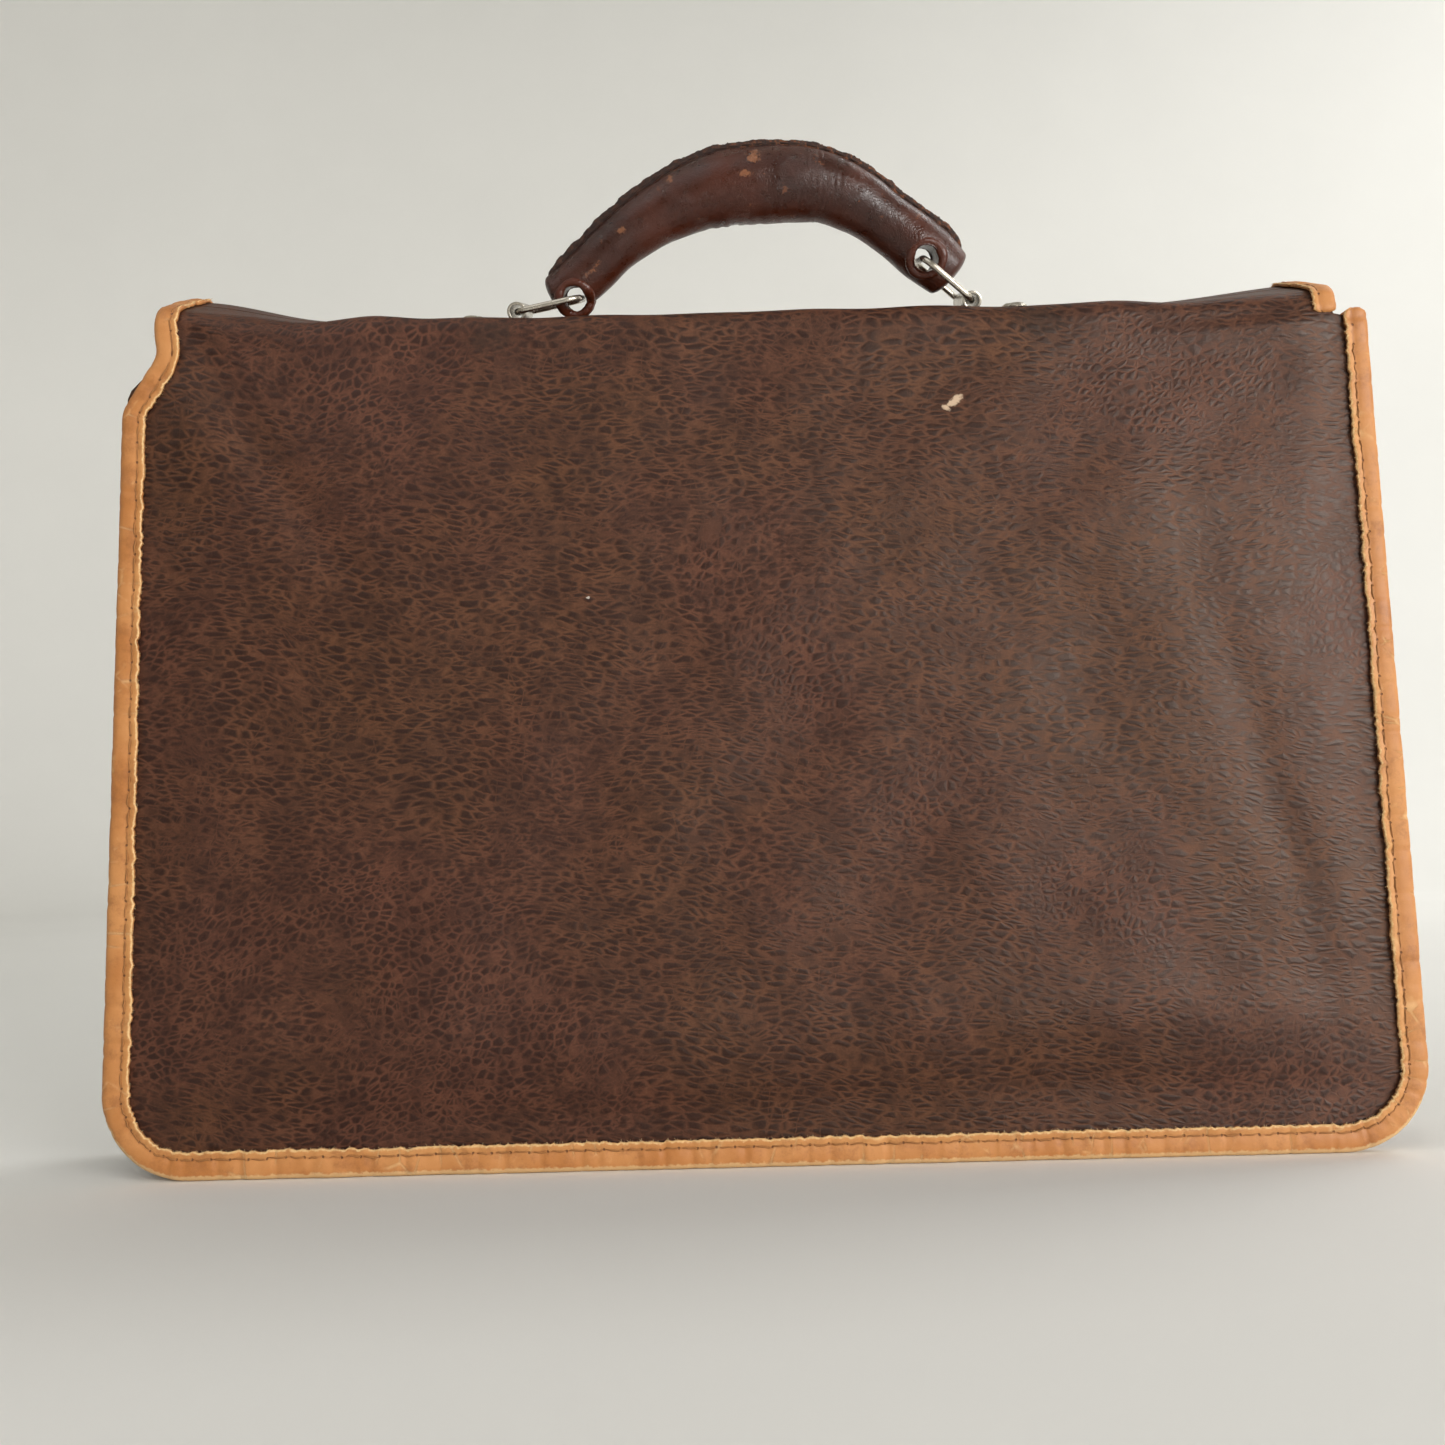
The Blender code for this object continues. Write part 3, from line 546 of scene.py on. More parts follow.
def raw_edge():
    """The cut edge of the grip's two layers: dark, and worn to orange-brown fibres."""
    look = Look("handle_raw_edge")
    place = look.position()
    tone = look.noise(place, 620, 5.0, 0.75)
    colour = look.mix(look.ramp(tone, 0.46, 0.66), srgb(38, 19, 12), srgb(122, 70, 38))
    along = look.add("SeparateXYZ", {0: look.uv()}, "X")
    colour = look.mix(look.ramp(along, 50 * MM, 85 * MM, 0.7, 0.0), colour, srgb(40, 20, 12))
    look.shade(colour, 0.75)
    look.bump(tone, 0.5 * MM, 0.9)
    return look.material


def thread(name, colour):
    look = Look(name)
    twist = look.add("TexWave", {"Vector": look.position(), "Scale": 900.0, "Distortion": 3.0}, "Fac")
    dark = tuple(c * 0.55 for c in colour)
    look.shade(look.mix(twist, dark, colour), 0.8)
    look.bump(twist, 0.1 * MM, 0.6)
    return look.material


def cloth():
    """A plain woven lining."""
    look = Look("lining_cloth")
    inputs = {"Vector": look.uv(), "Scale": 330.0, "Distortion": 0.6}
    weave = look.math("MAXIMUM", *(look.add("TexWave", inputs, "Fac", bands_direction=d) for d in "XY"))
    tone = look.noise(look.uv(), 40, 4.0, 0.6)
    colour = look.mix(look.ramp(tone, 0.3, 0.7), srgb(140, 112, 84), srgb(160, 132, 100))
    colour = look.tint(colour, weave, 0.45, srgb(186, 160, 126))
    look.shade(colour, 0.9)
    look.bump(weave, 0.25 * MM, 0.5)
    return look.material


def fibre(name, colour):
    look = Look(name)
    tone = look.noise(look.position(), 900, 2.0)
    dark = tuple(c * 0.6 for c in colour)
    look.shade(look.mix(tone, dark, colour), 0.9)
    return look.material


def metal(name, light, dark, rough):
    """Plated metal with brushed scratches and dull spots."""
    look = Look(name)
    place = look.position()
    tone = look.noise(place, 220, 5.0, 0.65)
    scratch = look.noise(look.mapped(place, (1, 1, 12)), 2600, 3.0)
    colour = look.mix(look.ramp(tone, 0.42, 0.66), light, dark)
    look.shade(colour, look.ramp(tone, 0.35, 0.7, rough, rough + 0.06))
    look.shader.inputs["Metallic"].default_value = 1.0
    look.bump(scratch, 0.03 * MM, 0.4)
    return look.material


def paper():
    """The pale ground, with a soft unevenness."""
    look = Look("pale_ground")
    tone = look.noise(look.position(), 2.2, 3.0)
    look.shade(look.mix(tone, srgb(232, 231, 227), srgb(240, 239, 235)), 0.85)
    return look.material


LEATHERETTE = leatherette("brown_leatherette")
BACK_LEATHER = leatherette("brown_leatherette_back", marked=True)
TAPE = tape()
HANDLE = handle_leather()
RAW = raw_edge()
TAN_THREAD = thread("tan_thread", srgb(176, 120, 66))
DARK_THREAD = thread("dark_thread", srgb(60, 34, 22))
CLOTH = cloth()
FIBRE = fibre("pale_fibre", srgb(238, 210, 160))
NICKEL = metal("nickel", srgb(196, 189, 177), srgb(182, 173, 159), 0.25)
STEEL = metal("steel_bar", srgb(150, 148, 145), srgb(110, 104, 98), 0.4)
ROPE = cloth()
ROPE.name = "handle_filling"


def dress(obj, look):
    obj.data.materials.clear()
    obj.data.materials.append(look)
    return obj


# ---------------------------------------------------------------- leatherette sheets

HEM = 1.8 * MM  # how far a sheet's edge stays inside its binding's
UV_SHIFT = 0.31  # the flap's grain is another stretch of the leatherette than the back's
LOCK_SLOT = slab(12 * MM, 6.5 * MM, 3 * MM, -LOCK_DROP)


def back_relief(x, z):
    """How far the stuffed back stands out from flat. x and z are in millimetres."""
    brow = z - 3 * np.sin(x / 55)
    out = 3.6 * smooth(6, 38, brow) * np.clip(1 - np.abs(x / 188) ** 5, 0, 1) * (1 - smooth(190, 256, z))
    out += 0.7 * np.exp(-(((brow - 41) / 9) ** 2)) - 0.5 * np.exp(-(((brow - 19) / 5) ** 2))
    out += 2.6 * np.exp(-(((x + 166) / 17) ** 2) - ((z - 222) / 19) ** 2)
    run = np.clip(((x + 172) * 50 - (z - 250) * 70) / (50**2 + 70**2), 0, 1)
    away = np.hypot(x + 172 - 50 * run, z - 250 + 70 * run)
    out -= 1.9 * np.exp(-((away / 7) ** 2)) * (1 - 0.6 * run)
    out += 1.5 * np.exp(-(((z - 246.5) / 3.6) ** 2)) * smooth(90, 165, x)
    out -= 1.5 * np.exp(-(((x - 98) / 16) ** 2) - ((z - 150) / 32) ** 2)
    out -= 1.2 * np.exp(-(((x - 42) / 22) ** 2) - ((z - 82) / 24) ** 2)
    out -= 0.9 * np.exp(-(((x - 150 + 0.25 * (z - 120)) / 7) ** 2) - ((z - 110) / 60) ** 2)
    out += 0.6 * waves(x, z, 60, 4) + 0.25 * waves(x, z, 24, 9)
    edge = np.minimum(half_width(z * MM) / MM - np.abs(x), z)
    return out * smooth(6.5, 24, edge)


BACK_BEND = Bend(FOLD_BACK, Vector((0, 0, 1)), TOP_RUN, 6 * MM)
FRONT_BEND = Bend(FOLD_FRONT, TOP_RUN, -FRONT_UP, 4.5 * MM)


def corner_inset(z, half, radius):
    """Half the width of a sheet at height z above its bottom edge, with round corners."""
    low = np.clip(radius - z, 0, radius)
    return half - radius + np.sqrt(np.clip(radius**2 - low**2, 0, None))


def back_and_fold():
    """The back panel with the first half of the top section, in one sheet that bends at the back fold."""
    s = np.arange(-FOLD_HEIGHT + 2 * MM, TOP_WIDTH / 2, 2.3 * MM)
    fine = np.linspace(-8 * MM, 8 * MM, 15)
    s = np.unique(np.concatenate([s[np.abs(s) > 8.5 * MM], fine, [TOP_WIDTH / 2]]))
    z = np.minimum(s, 0) + FOLD_HEIGHT
    body = np.array([half_width(v) for v in z]) - HEM
    low = corner_inset(z - HEM, body, RADIUS)
    left = low + (FLAP_HALF - HEM - low) * smooth(232 * MM, 243 * MM, z)
    right = low + (FLAP_HALF - HEM - low) * smooth(247 * MM, 249.5 * MM, z)
    t = np.linspace(-1, 1, 171)
    x = np.where(t[None] < 0, left[:, None] * t[None], right[:, None] * t[None])
    upright = 1 - smooth(-6 * MM, 0, s)
    high = back_relief(x / MM, z[:, None] / MM) * upright[:, None]
    crumple = 0.3 * waves(x / MM, s[:, None] / MM, 40, 11) * smooth(-9, 0, s[:, None] / MM)
    high = high + crumple * smooth(0, 9, TOP_WIDTH / MM / 2 - s[:, None] / MM) * (np.abs(x) < 171 * MM)
    points = BACK_BEND(grid(x, SKIN / 2 + high * MM, s[:, None]))
    obj = surface("back_and_fold", points, grid(x, s[:, None] + FOLD_HEIGHT))
    return finish_sheet(obj, Vector((0, -1, 0)), SKIN)


def finish_sheet(obj, out, thickness):
    """Turns an open sheet's faces towards out and gives it its thickness."""
    face = obj.data.polygons[len(obj.data.polygons) // 3]
    if face.normal.dot(out) < 0:
        obj.data.flip_normals()
    return thicken(obj, thickness)


def front_and_fold():
    """The second half of the top section with the flap's front, in one sheet that bends at the front fold."""
    s = np.arange(-TOP_WIDTH / 2, FLAP_LENGTH - 2 * MM, 2.3 * MM)
    fine = np.linspace(-7 * MM, 7 * MM, 13)
    s = np.unique(np.concatenate([s[np.abs(s) > 7.5 * MM], fine, [FLAP_LENGTH - HEM]]))
    half = corner_inset(FLAP_LENGTH - HEM - s, FLAP_HALF - HEM, 27 * MM)
    x = half[:, None] * np.linspace(-1, 1, 161)[None]
    d = s[:, None] / MM
    edge = np.minimum(FLAP_HALF / MM - np.abs(x / MM), FLAP_LENGTH / MM - d)
    flat = smooth(5, 25, d) * smooth(6.5, 24, edge)
    relief = 0.6 * waves(x / MM, d, 62, 21) + 0.25 * waves(x / MM, d, 25, 22)
    relief += 1.2 * np.exp(-(((d - 42) / 30) ** 2))
    near_lock = np.exp(-((x / MM / 34) ** 2) - ((d - LOCK_DROP / MM) / 24) ** 2)
    high = relief * (1 - near_lock) * flat
    points = FRONT_BEND(grid(x, SKIN / 2 + high * MM, s[:, None]))
    obj = surface("front_and_fold", points, grid(x, s[:, None] + UV_SHIFT))
    return cut(finish_sheet(obj, FRONT_OUT, SKIN), prism(LOCK_SLOT, -9 * MM, 9 * MM, FLAP))


def panel(
    name, seed, at, face, half, low, high, thick, relief, sign, step, corner,
    place=rise, hole=None, follow=None,
):
    """A flat sheet in the frame at, with soft relief. half gives half its width at a height, sign is the
    side that shows, place moves the whole sheet's points and follow is a relief that it lies against."""
    rows = int((high - low) / MM / step) + 2
    cols = int(2 * half(low) / MM / step)
    z = np.linspace(low, high, rows)
    ends = np.minimum(z - low, high - z) if corner < RADIUS else z - low
    edge_x = corner_inset(ends, np.array([half(v) for v in z]), corner)[:, None]
    z = z[:, None]
    x = edge_x * np.linspace(-1, 1, cols)
    edge = np.minimum(edge_x - np.abs(x), np.minimum(z - low, high - z)) / MM
    bumps = relief * (waves(x / MM, z / MM, 55, seed) + 0.4 * waves(x / MM, z / MM, 21, 8))
    out = face + sign * bumps * smooth(4, 20, edge) * MM
    if follow is not None:
        out = out - follow(x / MM, z / MM) * MM
    obj = surface(name, place(transformed(at, grid(x, out, z))), grid(x, z))
    finish_sheet(obj, at.to_3x3() @ Vector((0, sign, 0)), thick)
    if hole is not None:
        cut(obj, prism(hole, -20 * MM, 20 * MM, at))
    return obj


def gusset():
    """The folding gusset round the sides and bottom, from the back panel's seam to the front panel's."""
    top = 229 * MM
    corners = [(-half_width(top), top), (-half_width(0), 0), (half_width(0), 0), (half_width(top), top)]
    line, lengths = rounded(corners, [RADIUS, RADIUS], 3.2 * MM)
    back, front_low = BACK.translation.y + 2.5 * MM, MOUTH.y - 0.75 * MM
    t = np.linspace(0, 1, 25)
    knots = [0, 0.16, 0.22, 0.5, 0.78, 0.84, 1]  # seam, flange, corner, middle fold, corner, flange, seam
    points = []
    for (x, z), n, s in zip(line, inward_of(line), lengths / MM):
        front = front_low - z * FRONT_OUT.z / FRONT_OUT.y
        fold = 14 * MM * float(np.clip((z - 27 * MM) / (202 * MM) * 1.6, 0, 1))
        wave = 0.6 * MM * math.sin(s / 31) + 0.4 * MM * math.sin(s / 12 + 2)
        inset = np.array([1.3, 8.6, 9.9, 9.9, 9.9, 8.6, 0.6]) * MM
        inset += np.array([0, 0, 0.15, 1, 0.15, 0, 0]) * fold
        inset[3] += wave * min(1, fold / (6 * MM))
        depth = np.interp(t, knots, inset)
        depth[1:-1] = 0.25 * depth[:-2] + 0.5 * depth[1:-1] + 0.25 * depth[2:]
        y = back + (front - back) * np.interp(t, knots, [0, 0, 0.05, 0.5, 0.95, 1, 1])
        points.append(grid(x + n[0] * depth, y, np.maximum(z + n[1] * depth, 0.2 * MM)))
    obj = surface("side_and_bottom_gusset", np.array(points), grid(lengths[:, None], t * 60 * MM))
    return thicken(obj, 1.1 * MM, 0)


# ---------------------------------------------------------------- bound edges


def bind(name, corners, radii, place, seed, half, width, shift=0.0, ends=(0, 0)):
    """Tape folded round an edge. corners are (x, distance along the sheet) points with inward to the left of
    the line, and place puts points on the sheet. half the edge's thickness, the tape's width and the shift of
    the edge's middle over the sheet's may be functions of the corners' second coordinate."""
    line, lengths = rounded(corners, radii, 0.9 * MM)
    inward = inward_of(line)
    s, none, rows = lengths / MM, lengths * 0, len(line)
    along = line[:, 1]
    h, middle, wide = ((v(along) if callable(v) else none + v) / MM for v in (half, shift, width))
    for k, (high, size) in enumerate(((0.25, 34), (0.14, 9), (0.24, 2.9))):
        wide = wide + high * waves(s, none, size, seed + k)
    wide = wide + np.random.default_rng(seed + 3).uniform(-0.26, 0.26, rows)
    share = np.array([1.0, 0.93, 0.83, 0.735, 0.64, 0.5, 0.3, 0.16, 0.07, 0.02, 0.0])
    over = np.array([0.1, 0.3, 0.2, -0.08, 0.15, 0.3, 0.25, 0.0, -0.6, -1.3, 0.0])
    k = len(share)
    face = h[:, None] + over[None]
    face[:, -1] = 0
    inner = np.array([1.0, 0.5, 0.16, 0.12, 0.16, 0.5, 1.0])
    side = np.array([-1, -1, -1, 0, 1, 1, 1])
    under = side[None] * (h[:, None] - np.array([0.8, 0.9, 0.95, 0, 0.95, 0.9, 0.8])[None])
    shares = np.concatenate([share, share[-2::-1], inner])[None]
    n = shares * wide[:, None]
    q = np.concatenate([face, -face[:, -2::-1], under], axis=1)
    shows = np.concatenate([np.ones(k - 1), [0], -np.ones(k - 1), np.zeros(7)])[None]
    rng = np.random.default_rng(seed)
    pinch = np.zeros(rows)
    for crease in np.cumsum(rng.uniform(4, 13, int(s[-1] / 7))):
        pinch += np.exp(-(((s - crease) / 0.8) ** 2)) * rng.uniform(0.15, 0.5)
    pucker = 0.1 * np.cos(2 * np.pi * s / 5.5)
    swell = 0.22 * waves(s, none, 17, seed + 5)
    q += shows * (swell - pinch)[:, None] + shows * pucker[:, None] * np.exp(-(((shares - 0.55) / 0.2) ** 2))
    curl = np.clip(0.05 + 0.4 * waves(s, none, 8, seed + 7), 0, 1)
    q += shows * curl[:, None] * np.clip((shares - 0.8) / 0.2, 0, 1)
    for end, away in zip(ends, (s, s[-1] - s)):
        if end:
            close = 0.5 + 0.5 * np.sqrt(np.clip(1 - np.clip(1 - away / end, 0, 1) ** 2, 0, 1))
            n = wide[:, None] / 2 + (n - wide[:, None] / 2) * close[:, None]
            q = q * (0.6 + 0.4 * close[:, None])
    x, z = (line[:, None, c] + inward[:, None, c] * n * MM for c in (0, 1))
    points = place(grid(x, (middle[:, None] + q) * MM, z))
    points[..., 2] = np.maximum(points[..., 2], 0.0)
    signed = np.concatenate([share, -share[-2::-1], np.full(8, 0.5)])
    obj = surface(name, points, grid(lengths[:, None], signed), wrap=True, caps=True)
    dress(obj, TAPE)
    thread = stitches(name + "_stitches", line, inward, lengths, wide, h, middle, place)
    return obj, thread, fringe(name + "_fringe", points, k - 1, seed)


def stitches(name, line, inward, lengths, wide, high, middle, place):
    """Short threads that dive into their holes, on both faces of a binding."""
    pitch = 5.5 * MM
    rows = []
    for side in (1, -1):
        for k in range(1, int(lengths[-1] / pitch) - 1):
            stitch = []
            for t, size in zip(np.linspace(0.08, 0.92, 5), (0.14, 0.24, 0.25, 0.24, 0.14)):
                i = min(int(np.searchsorted(lengths, (k + t) * pitch)), len(line) - 1)
                n = wide[i] * 0.735 + 0.12 * math.sin(k * 2.1)
                over = high[i] - 0.3 + 0.42 * math.sin(math.pi * t) ** 0.5
                for corner in range(6):
                    a = corner * math.pi / 3
                    x, z = line[i] + inward[i] * (n + math.cos(a) * size) * MM
                    stitch.append((x, (middle[i] + side * over + math.sin(a) * size * 0.8) * MM, z))
            rows.append(stitch)
    return tubes(name, place(np.array(rows)), 6, TAN_THREAD)


def tubes(name, points, sides, look):
    """Many short closed tubes in one mesh. points is (tube, ring by ring points, 3)."""
    count, size = points.shape[:2]
    faces = []
    for base in range(0, count * size, size):
        for a in range(base, base + size - sides, sides):
            for b, c in zip(range(sides), [*range(1, sides), 0]):
                faces.append((a + b, a + c, a + c + sides, a + b + sides))
        faces.append(tuple(range(base + sides - 1, base - 1, -1)))
        faces.append(tuple(range(base + size - sides, base + size)))
    mesh = bpy.data.meshes.new(name)
    mesh.from_pydata(points.reshape(-1, 3).tolist(), [], faces)
    outward(mesh)
    mesh.shade_smooth()
    return dress(new_object(name, mesh), look)


def fringe(name, points, fold, seed):
    """Loose fibres along the tape's raw edge and along its worn fold."""
    rng = np.random.default_rng(seed + 40)
    hairs = []
    for i in range(2, len(points) - 2):
        low = points[i, fold, 2] < 12 * MM
        for where, chance, reach in ((0, 0.9, 0.7), (0, 0.6, 0.5), (fold, 0.9 if low else 0.4, 0.55)):
            if rng.random() > chance:
                continue
            root = points[i, where]
            along = points[i + 1, where] - points[i - 1, where]
            along /= np.linalg.norm(along)
            away = root - points[i, 3 if where == 0 else fold + 14]
            away /= np.linalg.norm(away)
            face = np.cross(along, away)
            run = away + along * rng.normal(0, 0.8) + face * rng.normal(0, 0.4)
            run *= reach * rng.uniform(0.4, 1.3) * MM / np.linalg.norm(run)
            bend = along * rng.normal(0, 0.25) * MM
            size = rng.uniform(0.05, 0.09) * MM
            start = root + along * rng.uniform(-0.5, 0.5) * MM
            hair = []
            for t, thick in ((-0.3, 1.0), (0.5, 0.8), (1.0, 0.25)):
                for a in (0, 2.094, 4.189):
                    spread = (along * math.cos(a) + face * math.sin(a)) * size * thick
                    hair.append(start + run * t + bend * t * t + spread)
            hairs.append(hair)
    hairs = np.array(hairs)
    hairs[..., 2] = np.maximum(hairs[..., 2], 0.02 * MM)
    return tubes(name, hairs, 3, FIBRE)


# ---------------------------------------------------------------- the handle

RING_PITCH = 20 * MM
RING_SPAN = 22.5 * MM
LEFT_ANGLE = math.radians(11)
RIGHT_ANGLE = math.radians(40)
TUBE_HEIGHT = 4.1 * MM
EYES = (-1.8 * MM, 1.2 * MM)

EYE_RADIUS = 4.0 * MM

# the grip's middle line: along, up and radius in millimetres, from the left ring's bar
GRIP_LINE = np.array(
    [
        (-9.4, 0.4, 6.6),
        (0.2, 5.2, 7.6),
        (12.3, 14.0, 8.0),
        (25.4, 21.4, 8.9),
        (38.1, 25.8, 10.2),
        (51.1, 27.7, 11.3),
        (69.2, 26.7, 11.4),
        (80.6, 24.0, 10.3),
        (89.6, 19.0, 9.4),
        (99.6, 10.8, 8.7),
        (109.8, 1.6, 9.2),
        (117.6, -6.6, 7.6),
    ]
)


def grip_frame():
    """The grip's frame, from one ring's far bar to the other's, and the distance between them."""
    half = (AT["ring_right_swing"] - AT["ring_left_swing"]).length / 2
    left = np.array([-half + RING_PITCH * math.cos(LEFT_ANGLE), RING_PITCH * math.sin(LEFT_ANGLE)])
    right = np.array([half - RING_PITCH * math.cos(RIGHT_ANGLE), RING_PITCH * math.sin(RIGHT_ANGLE)])
    tilt = math.atan2(right[1] - left[1], right[0] - left[0])
    along = EX * math.cos(tilt) + TOP_UP * math.sin(tilt)
    up = TOP_UP * math.cos(tilt) - EX * math.sin(tilt)
    return frame_matrix(AT["handle_swing"], along, TOP_RUN, up), float(np.linalg.norm(right - left))


GRIP, PITCH = grip_frame()


def grip_curve(share):
    """The grip's middle line and radius, at shares of its length, in millimetres."""
    place = np.asarray(share) * (len(GRIP_LINE) - 1)
    i = np.clip(place.astype(int), 0, len(GRIP_LINE) - 2)
    t = (place - i)[:, None]
    a, b, c, d = (GRIP_LINE[np.clip(i + k, 0, len(GRIP_LINE) - 1)] for k in (-1, 0, 1, 2))
    return 0.5 * (2 * b + (c - a) * t + (2 * a - 5 * b + 4 * c - d) * t**2 + (3 * b - a - 3 * c + d) * t**3)


def grip_cover():
    """The sewn leather tube, fuller in the middle, with creases where it bends."""
    count = 260
    share = np.linspace(0, 1, count)
    curve = grip_curve(share)
    out = inward_of(curve[:, :2])
    s = np.concatenate([[0], np.cumsum(np.linalg.norm(np.diff(curve[:, :2], axis=0), axis=1))])
    cols = 64
    turn = np.linspace(0, 2 * np.pi, cols, endpoint=False)
    radius = curve[:, 2][:, None] * np.ones((1, cols))
    end = np.minimum(s, s[-1] - s)[:, None]
    radius *= np.sqrt(np.clip(1 - np.clip(1 - end / 2.6, 0, 1) ** 2.4, 0.02, 1))
    radius += 0.25 * waves(s[:, None], turn[None] * 9, 19, 31) * smooth(4, 16, end)
    zone = np.exp(-(((share - 0.62) / 0.10) ** 2)) + 0.35 * np.exp(-(((share - 0.25) / 0.1) ** 2))
    zone = zone[:, None]
    slant = s[:, None] + 2.6 * np.cos(turn[None]) + 1.1 * waves(s[:, None], turn[None] * 9, 12, 33)
    facing = np.clip(np.sin(turn[None]) * -1, 0, 1) ** 0.5 + 0.3
    patchy = smooth(-0.5, 0.9, waves(s[:, None], turn[None] * 9, 6, 35))
    slant = slant + 0.5 * waves(s[:, None], turn[None] * 9, 4, 37)
    radius += 0.12 * np.sin(2 * np.pi * slant / 1.9) * zone * facing * patchy
    under = np.exp(-(((turn[None] - np.pi) / 0.5) ** 2))
    folds = smooth(0.3, 1, np.abs(waves(s[:, None], turn[None] * 0, 7, 36)))
    radius -= 0.35 * under * folds * smooth(0.2, 0.5, 0.5 - np.abs(share[:, None] - 0.5))
    high = radius * np.cos(turn)[None]
    x, z = (curve[:, None, c] + out[:, None, c] * high for c in (0, 1))
    points = grid(x, 0.95 * radius * np.sin(turn)[None], z)
    lowness = np.append(np.abs(turn / np.pi - 2 * (turn > np.pi) * (turn / np.pi - 1)), 0)
    uv = grid(s[:, None] * MM, lowness)
    obj = surface("handle_grip", transformed(GRIP, points * MM), uv, wrap=True, caps=True)
    for x in (EYES[0], PITCH + EYES[1]):
        turns = np.linspace(0, 2 * np.pi, 32, endpoint=False)
        hole = grid(x + EYE_RADIUS * np.cos(turns), EYE_RADIUS * np.sin(turns))
        cut(obj, prism(hole, -20 * MM, 20 * MM, GRIP))
    obj.data.shade_smooth()
    obj.data.set_sharp_from_angle(angle=math.radians(50))
    dress(obj, HANDLE)
    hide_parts("handle_cover")
    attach(obj, "handle")
    return curve, out, s


def grip_seam(curve, out, s):
    """The two raw edges sewn together along the grip's outer side."""
    keep = (s > 3.0) & (s < s[-1] - 4.0)
    curve, out, s = curve[keep], out[keep], s[keep]
    for name, side in (("handle_seam_near", -1), ("handle_seam_far", 1)):
        jag = 0.3 * waves(s, s * 0, 6, 50 + side) + 0.25 * waves(s, s * 0, 1.7, 52 + side)
        worn = 0.3 * smooth(60, 90, s)
        top = curve[:, 2] + 1.9 + jag - worn
        ends = np.sqrt(np.clip(np.minimum(s - s[0], s[-1] - s) / 5, 0, 1))
        top = curve[:, 2] + (top - curve[:, 2]) * ends + 0.05
        ring = [(-1.0, 0.1), (-1.0, 1.45), (0.35, 1.3), (0.75, 1.12), (0.95, 0.85), (1.0, 0.45), (0.95, 0.12)]
        points = np.zeros((len(s), len(ring), 3))
        for k, (share, wide) in enumerate(ring):
            height = curve[:, 2] - 1.2 if share < 0 else curve[:, 2] + share * (top - curve[:, 2])
            lean = 0.22 * waves(s, s * 0, 3.2, 60 + k)
            points[:, k, 0] = curve[:, 0] + out[:, 0] * height
            points[:, k, 1] = side * (wide + lean * (share > 0))
            points[:, k, 2] = curve[:, 1] + out[:, 1] * height
        uv = np.zeros((len(s), len(ring) + 1, 2))
        uv[..., 0] = s[:, None] * MM
        obj = surface(name, transformed(GRIP, points * MM), uv, wrap=True, caps=True)
        dress(obj, RAW)
        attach(obj, "handle")
    rows = []
    for side in (-1, 1):
        for k in range(int((s[-1] - s[0] - 6) / 3.6)):
            stitch = []
            for t, size in zip(np.linspace(0.12, 0.88, 5), (0.15, 0.26, 0.27, 0.26, 0.15)):
                at = s[0] + 3 + (k + t) * 3.6
                base = [np.interp(at, s, curve[:, 0]), np.interp(at, s, curve[:, 1])]
                way = [np.interp(at, s, out[:, 0]), np.interp(at, s, out[:, 1])]
                height = np.interp(at, s, curve[:, 2]) + 0.55
                wide = side * (1.2 + 0.15 * math.sin(math.pi * t))
                for c in range(6):
                    a = c * math.pi / 3
                    r = height + math.cos(a) * size
                    stitch.append((base[0] + way[0] * r, wide + math.sin(a) * size, base[1] + way[1] * r))
            rows.append(stitch)
    points = transformed(GRIP, np.array(rows) * MM)
    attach(tubes("handle_stitches", points, 6, DARK_THREAD), "handle")


def eye_rims():
    """A thick rolled rim of leather round each eye, on both faces of the grip."""
    curve = grip_curve(np.linspace(0, 1, 400))
    for label, centre, ring in (("left", EYES[0] / MM, 4.9), ("right", (PITCH + EYES[1]) / MM, 5.1)):
        for face, side in (("near", -1), ("far", 1)):
            count, cols = 56, 14
            points = np.zeros((count + 1, cols, 3))
            for i in range(count):
                a = 2 * math.pi * i / count
                middle = np.array([centre + ring * math.cos(a), ring * math.sin(a)])
                away = np.hypot(curve[:, 0] - middle[0], curve[:, 1] - middle[1])
                k = int(np.argmin(away))
                reach = math.sqrt(max(curve[k, 2] ** 2 - away[k] ** 2, 6.0)) * 0.95
                size = 1.35 + 0.2 * math.sin(2 * a + 1) + 0.1 * math.sin(5 * a) + 0.05 * math.sin(17 * a)
                for c in range(cols):
                    b = 2 * math.pi * c / cols
                    r = ring + size * math.cos(b)
                    high = side * (reach - 0.55 + size * 0.85 * math.sin(b))
                    points[i, c] = (centre + r * math.cos(a), high, r * math.sin(a))
            points[-1] = points[0]
            uv = grid(0.2 + np.arange(count + 1)[:, None] / count * 0.029, np.full(cols + 1, 0.9))
            obj = surface(f"eye_rim_{label}_{face}", transformed(GRIP, points * MM), uv, wrap=True)
            outward(obj.data, weld=0.001 * MM)
            dress(obj, HANDLE)
            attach(obj, "handle")


def wire(name, points, radius, sides, matrix, closed=True):
    """A round wire through local points."""
    data = bpy.data.curves.new(name, "CURVE")
    data.dimensions = "3D"
    data.bevel_depth = radius
    data.bevel_resolution = sides
    data.use_fill_caps = not closed
    spline = data.splines.new("POLY")
    spline.points.add(len(points) - 1)
    for point, at in zip(spline.points, points):
        point.co = (*(matrix @ Vector(at)), 1)
    spline.use_cyclic_u = closed
    curve = new_object(name, data)
    graph = bpy.context.evaluated_depsgraph_get()
    mesh = bpy.data.meshes.new_from_object(curve.evaluated_get(graph))
    bpy.data.objects.remove(curve, do_unlink=True)
    mesh.shade_smooth()
    return new_object(name, mesh)


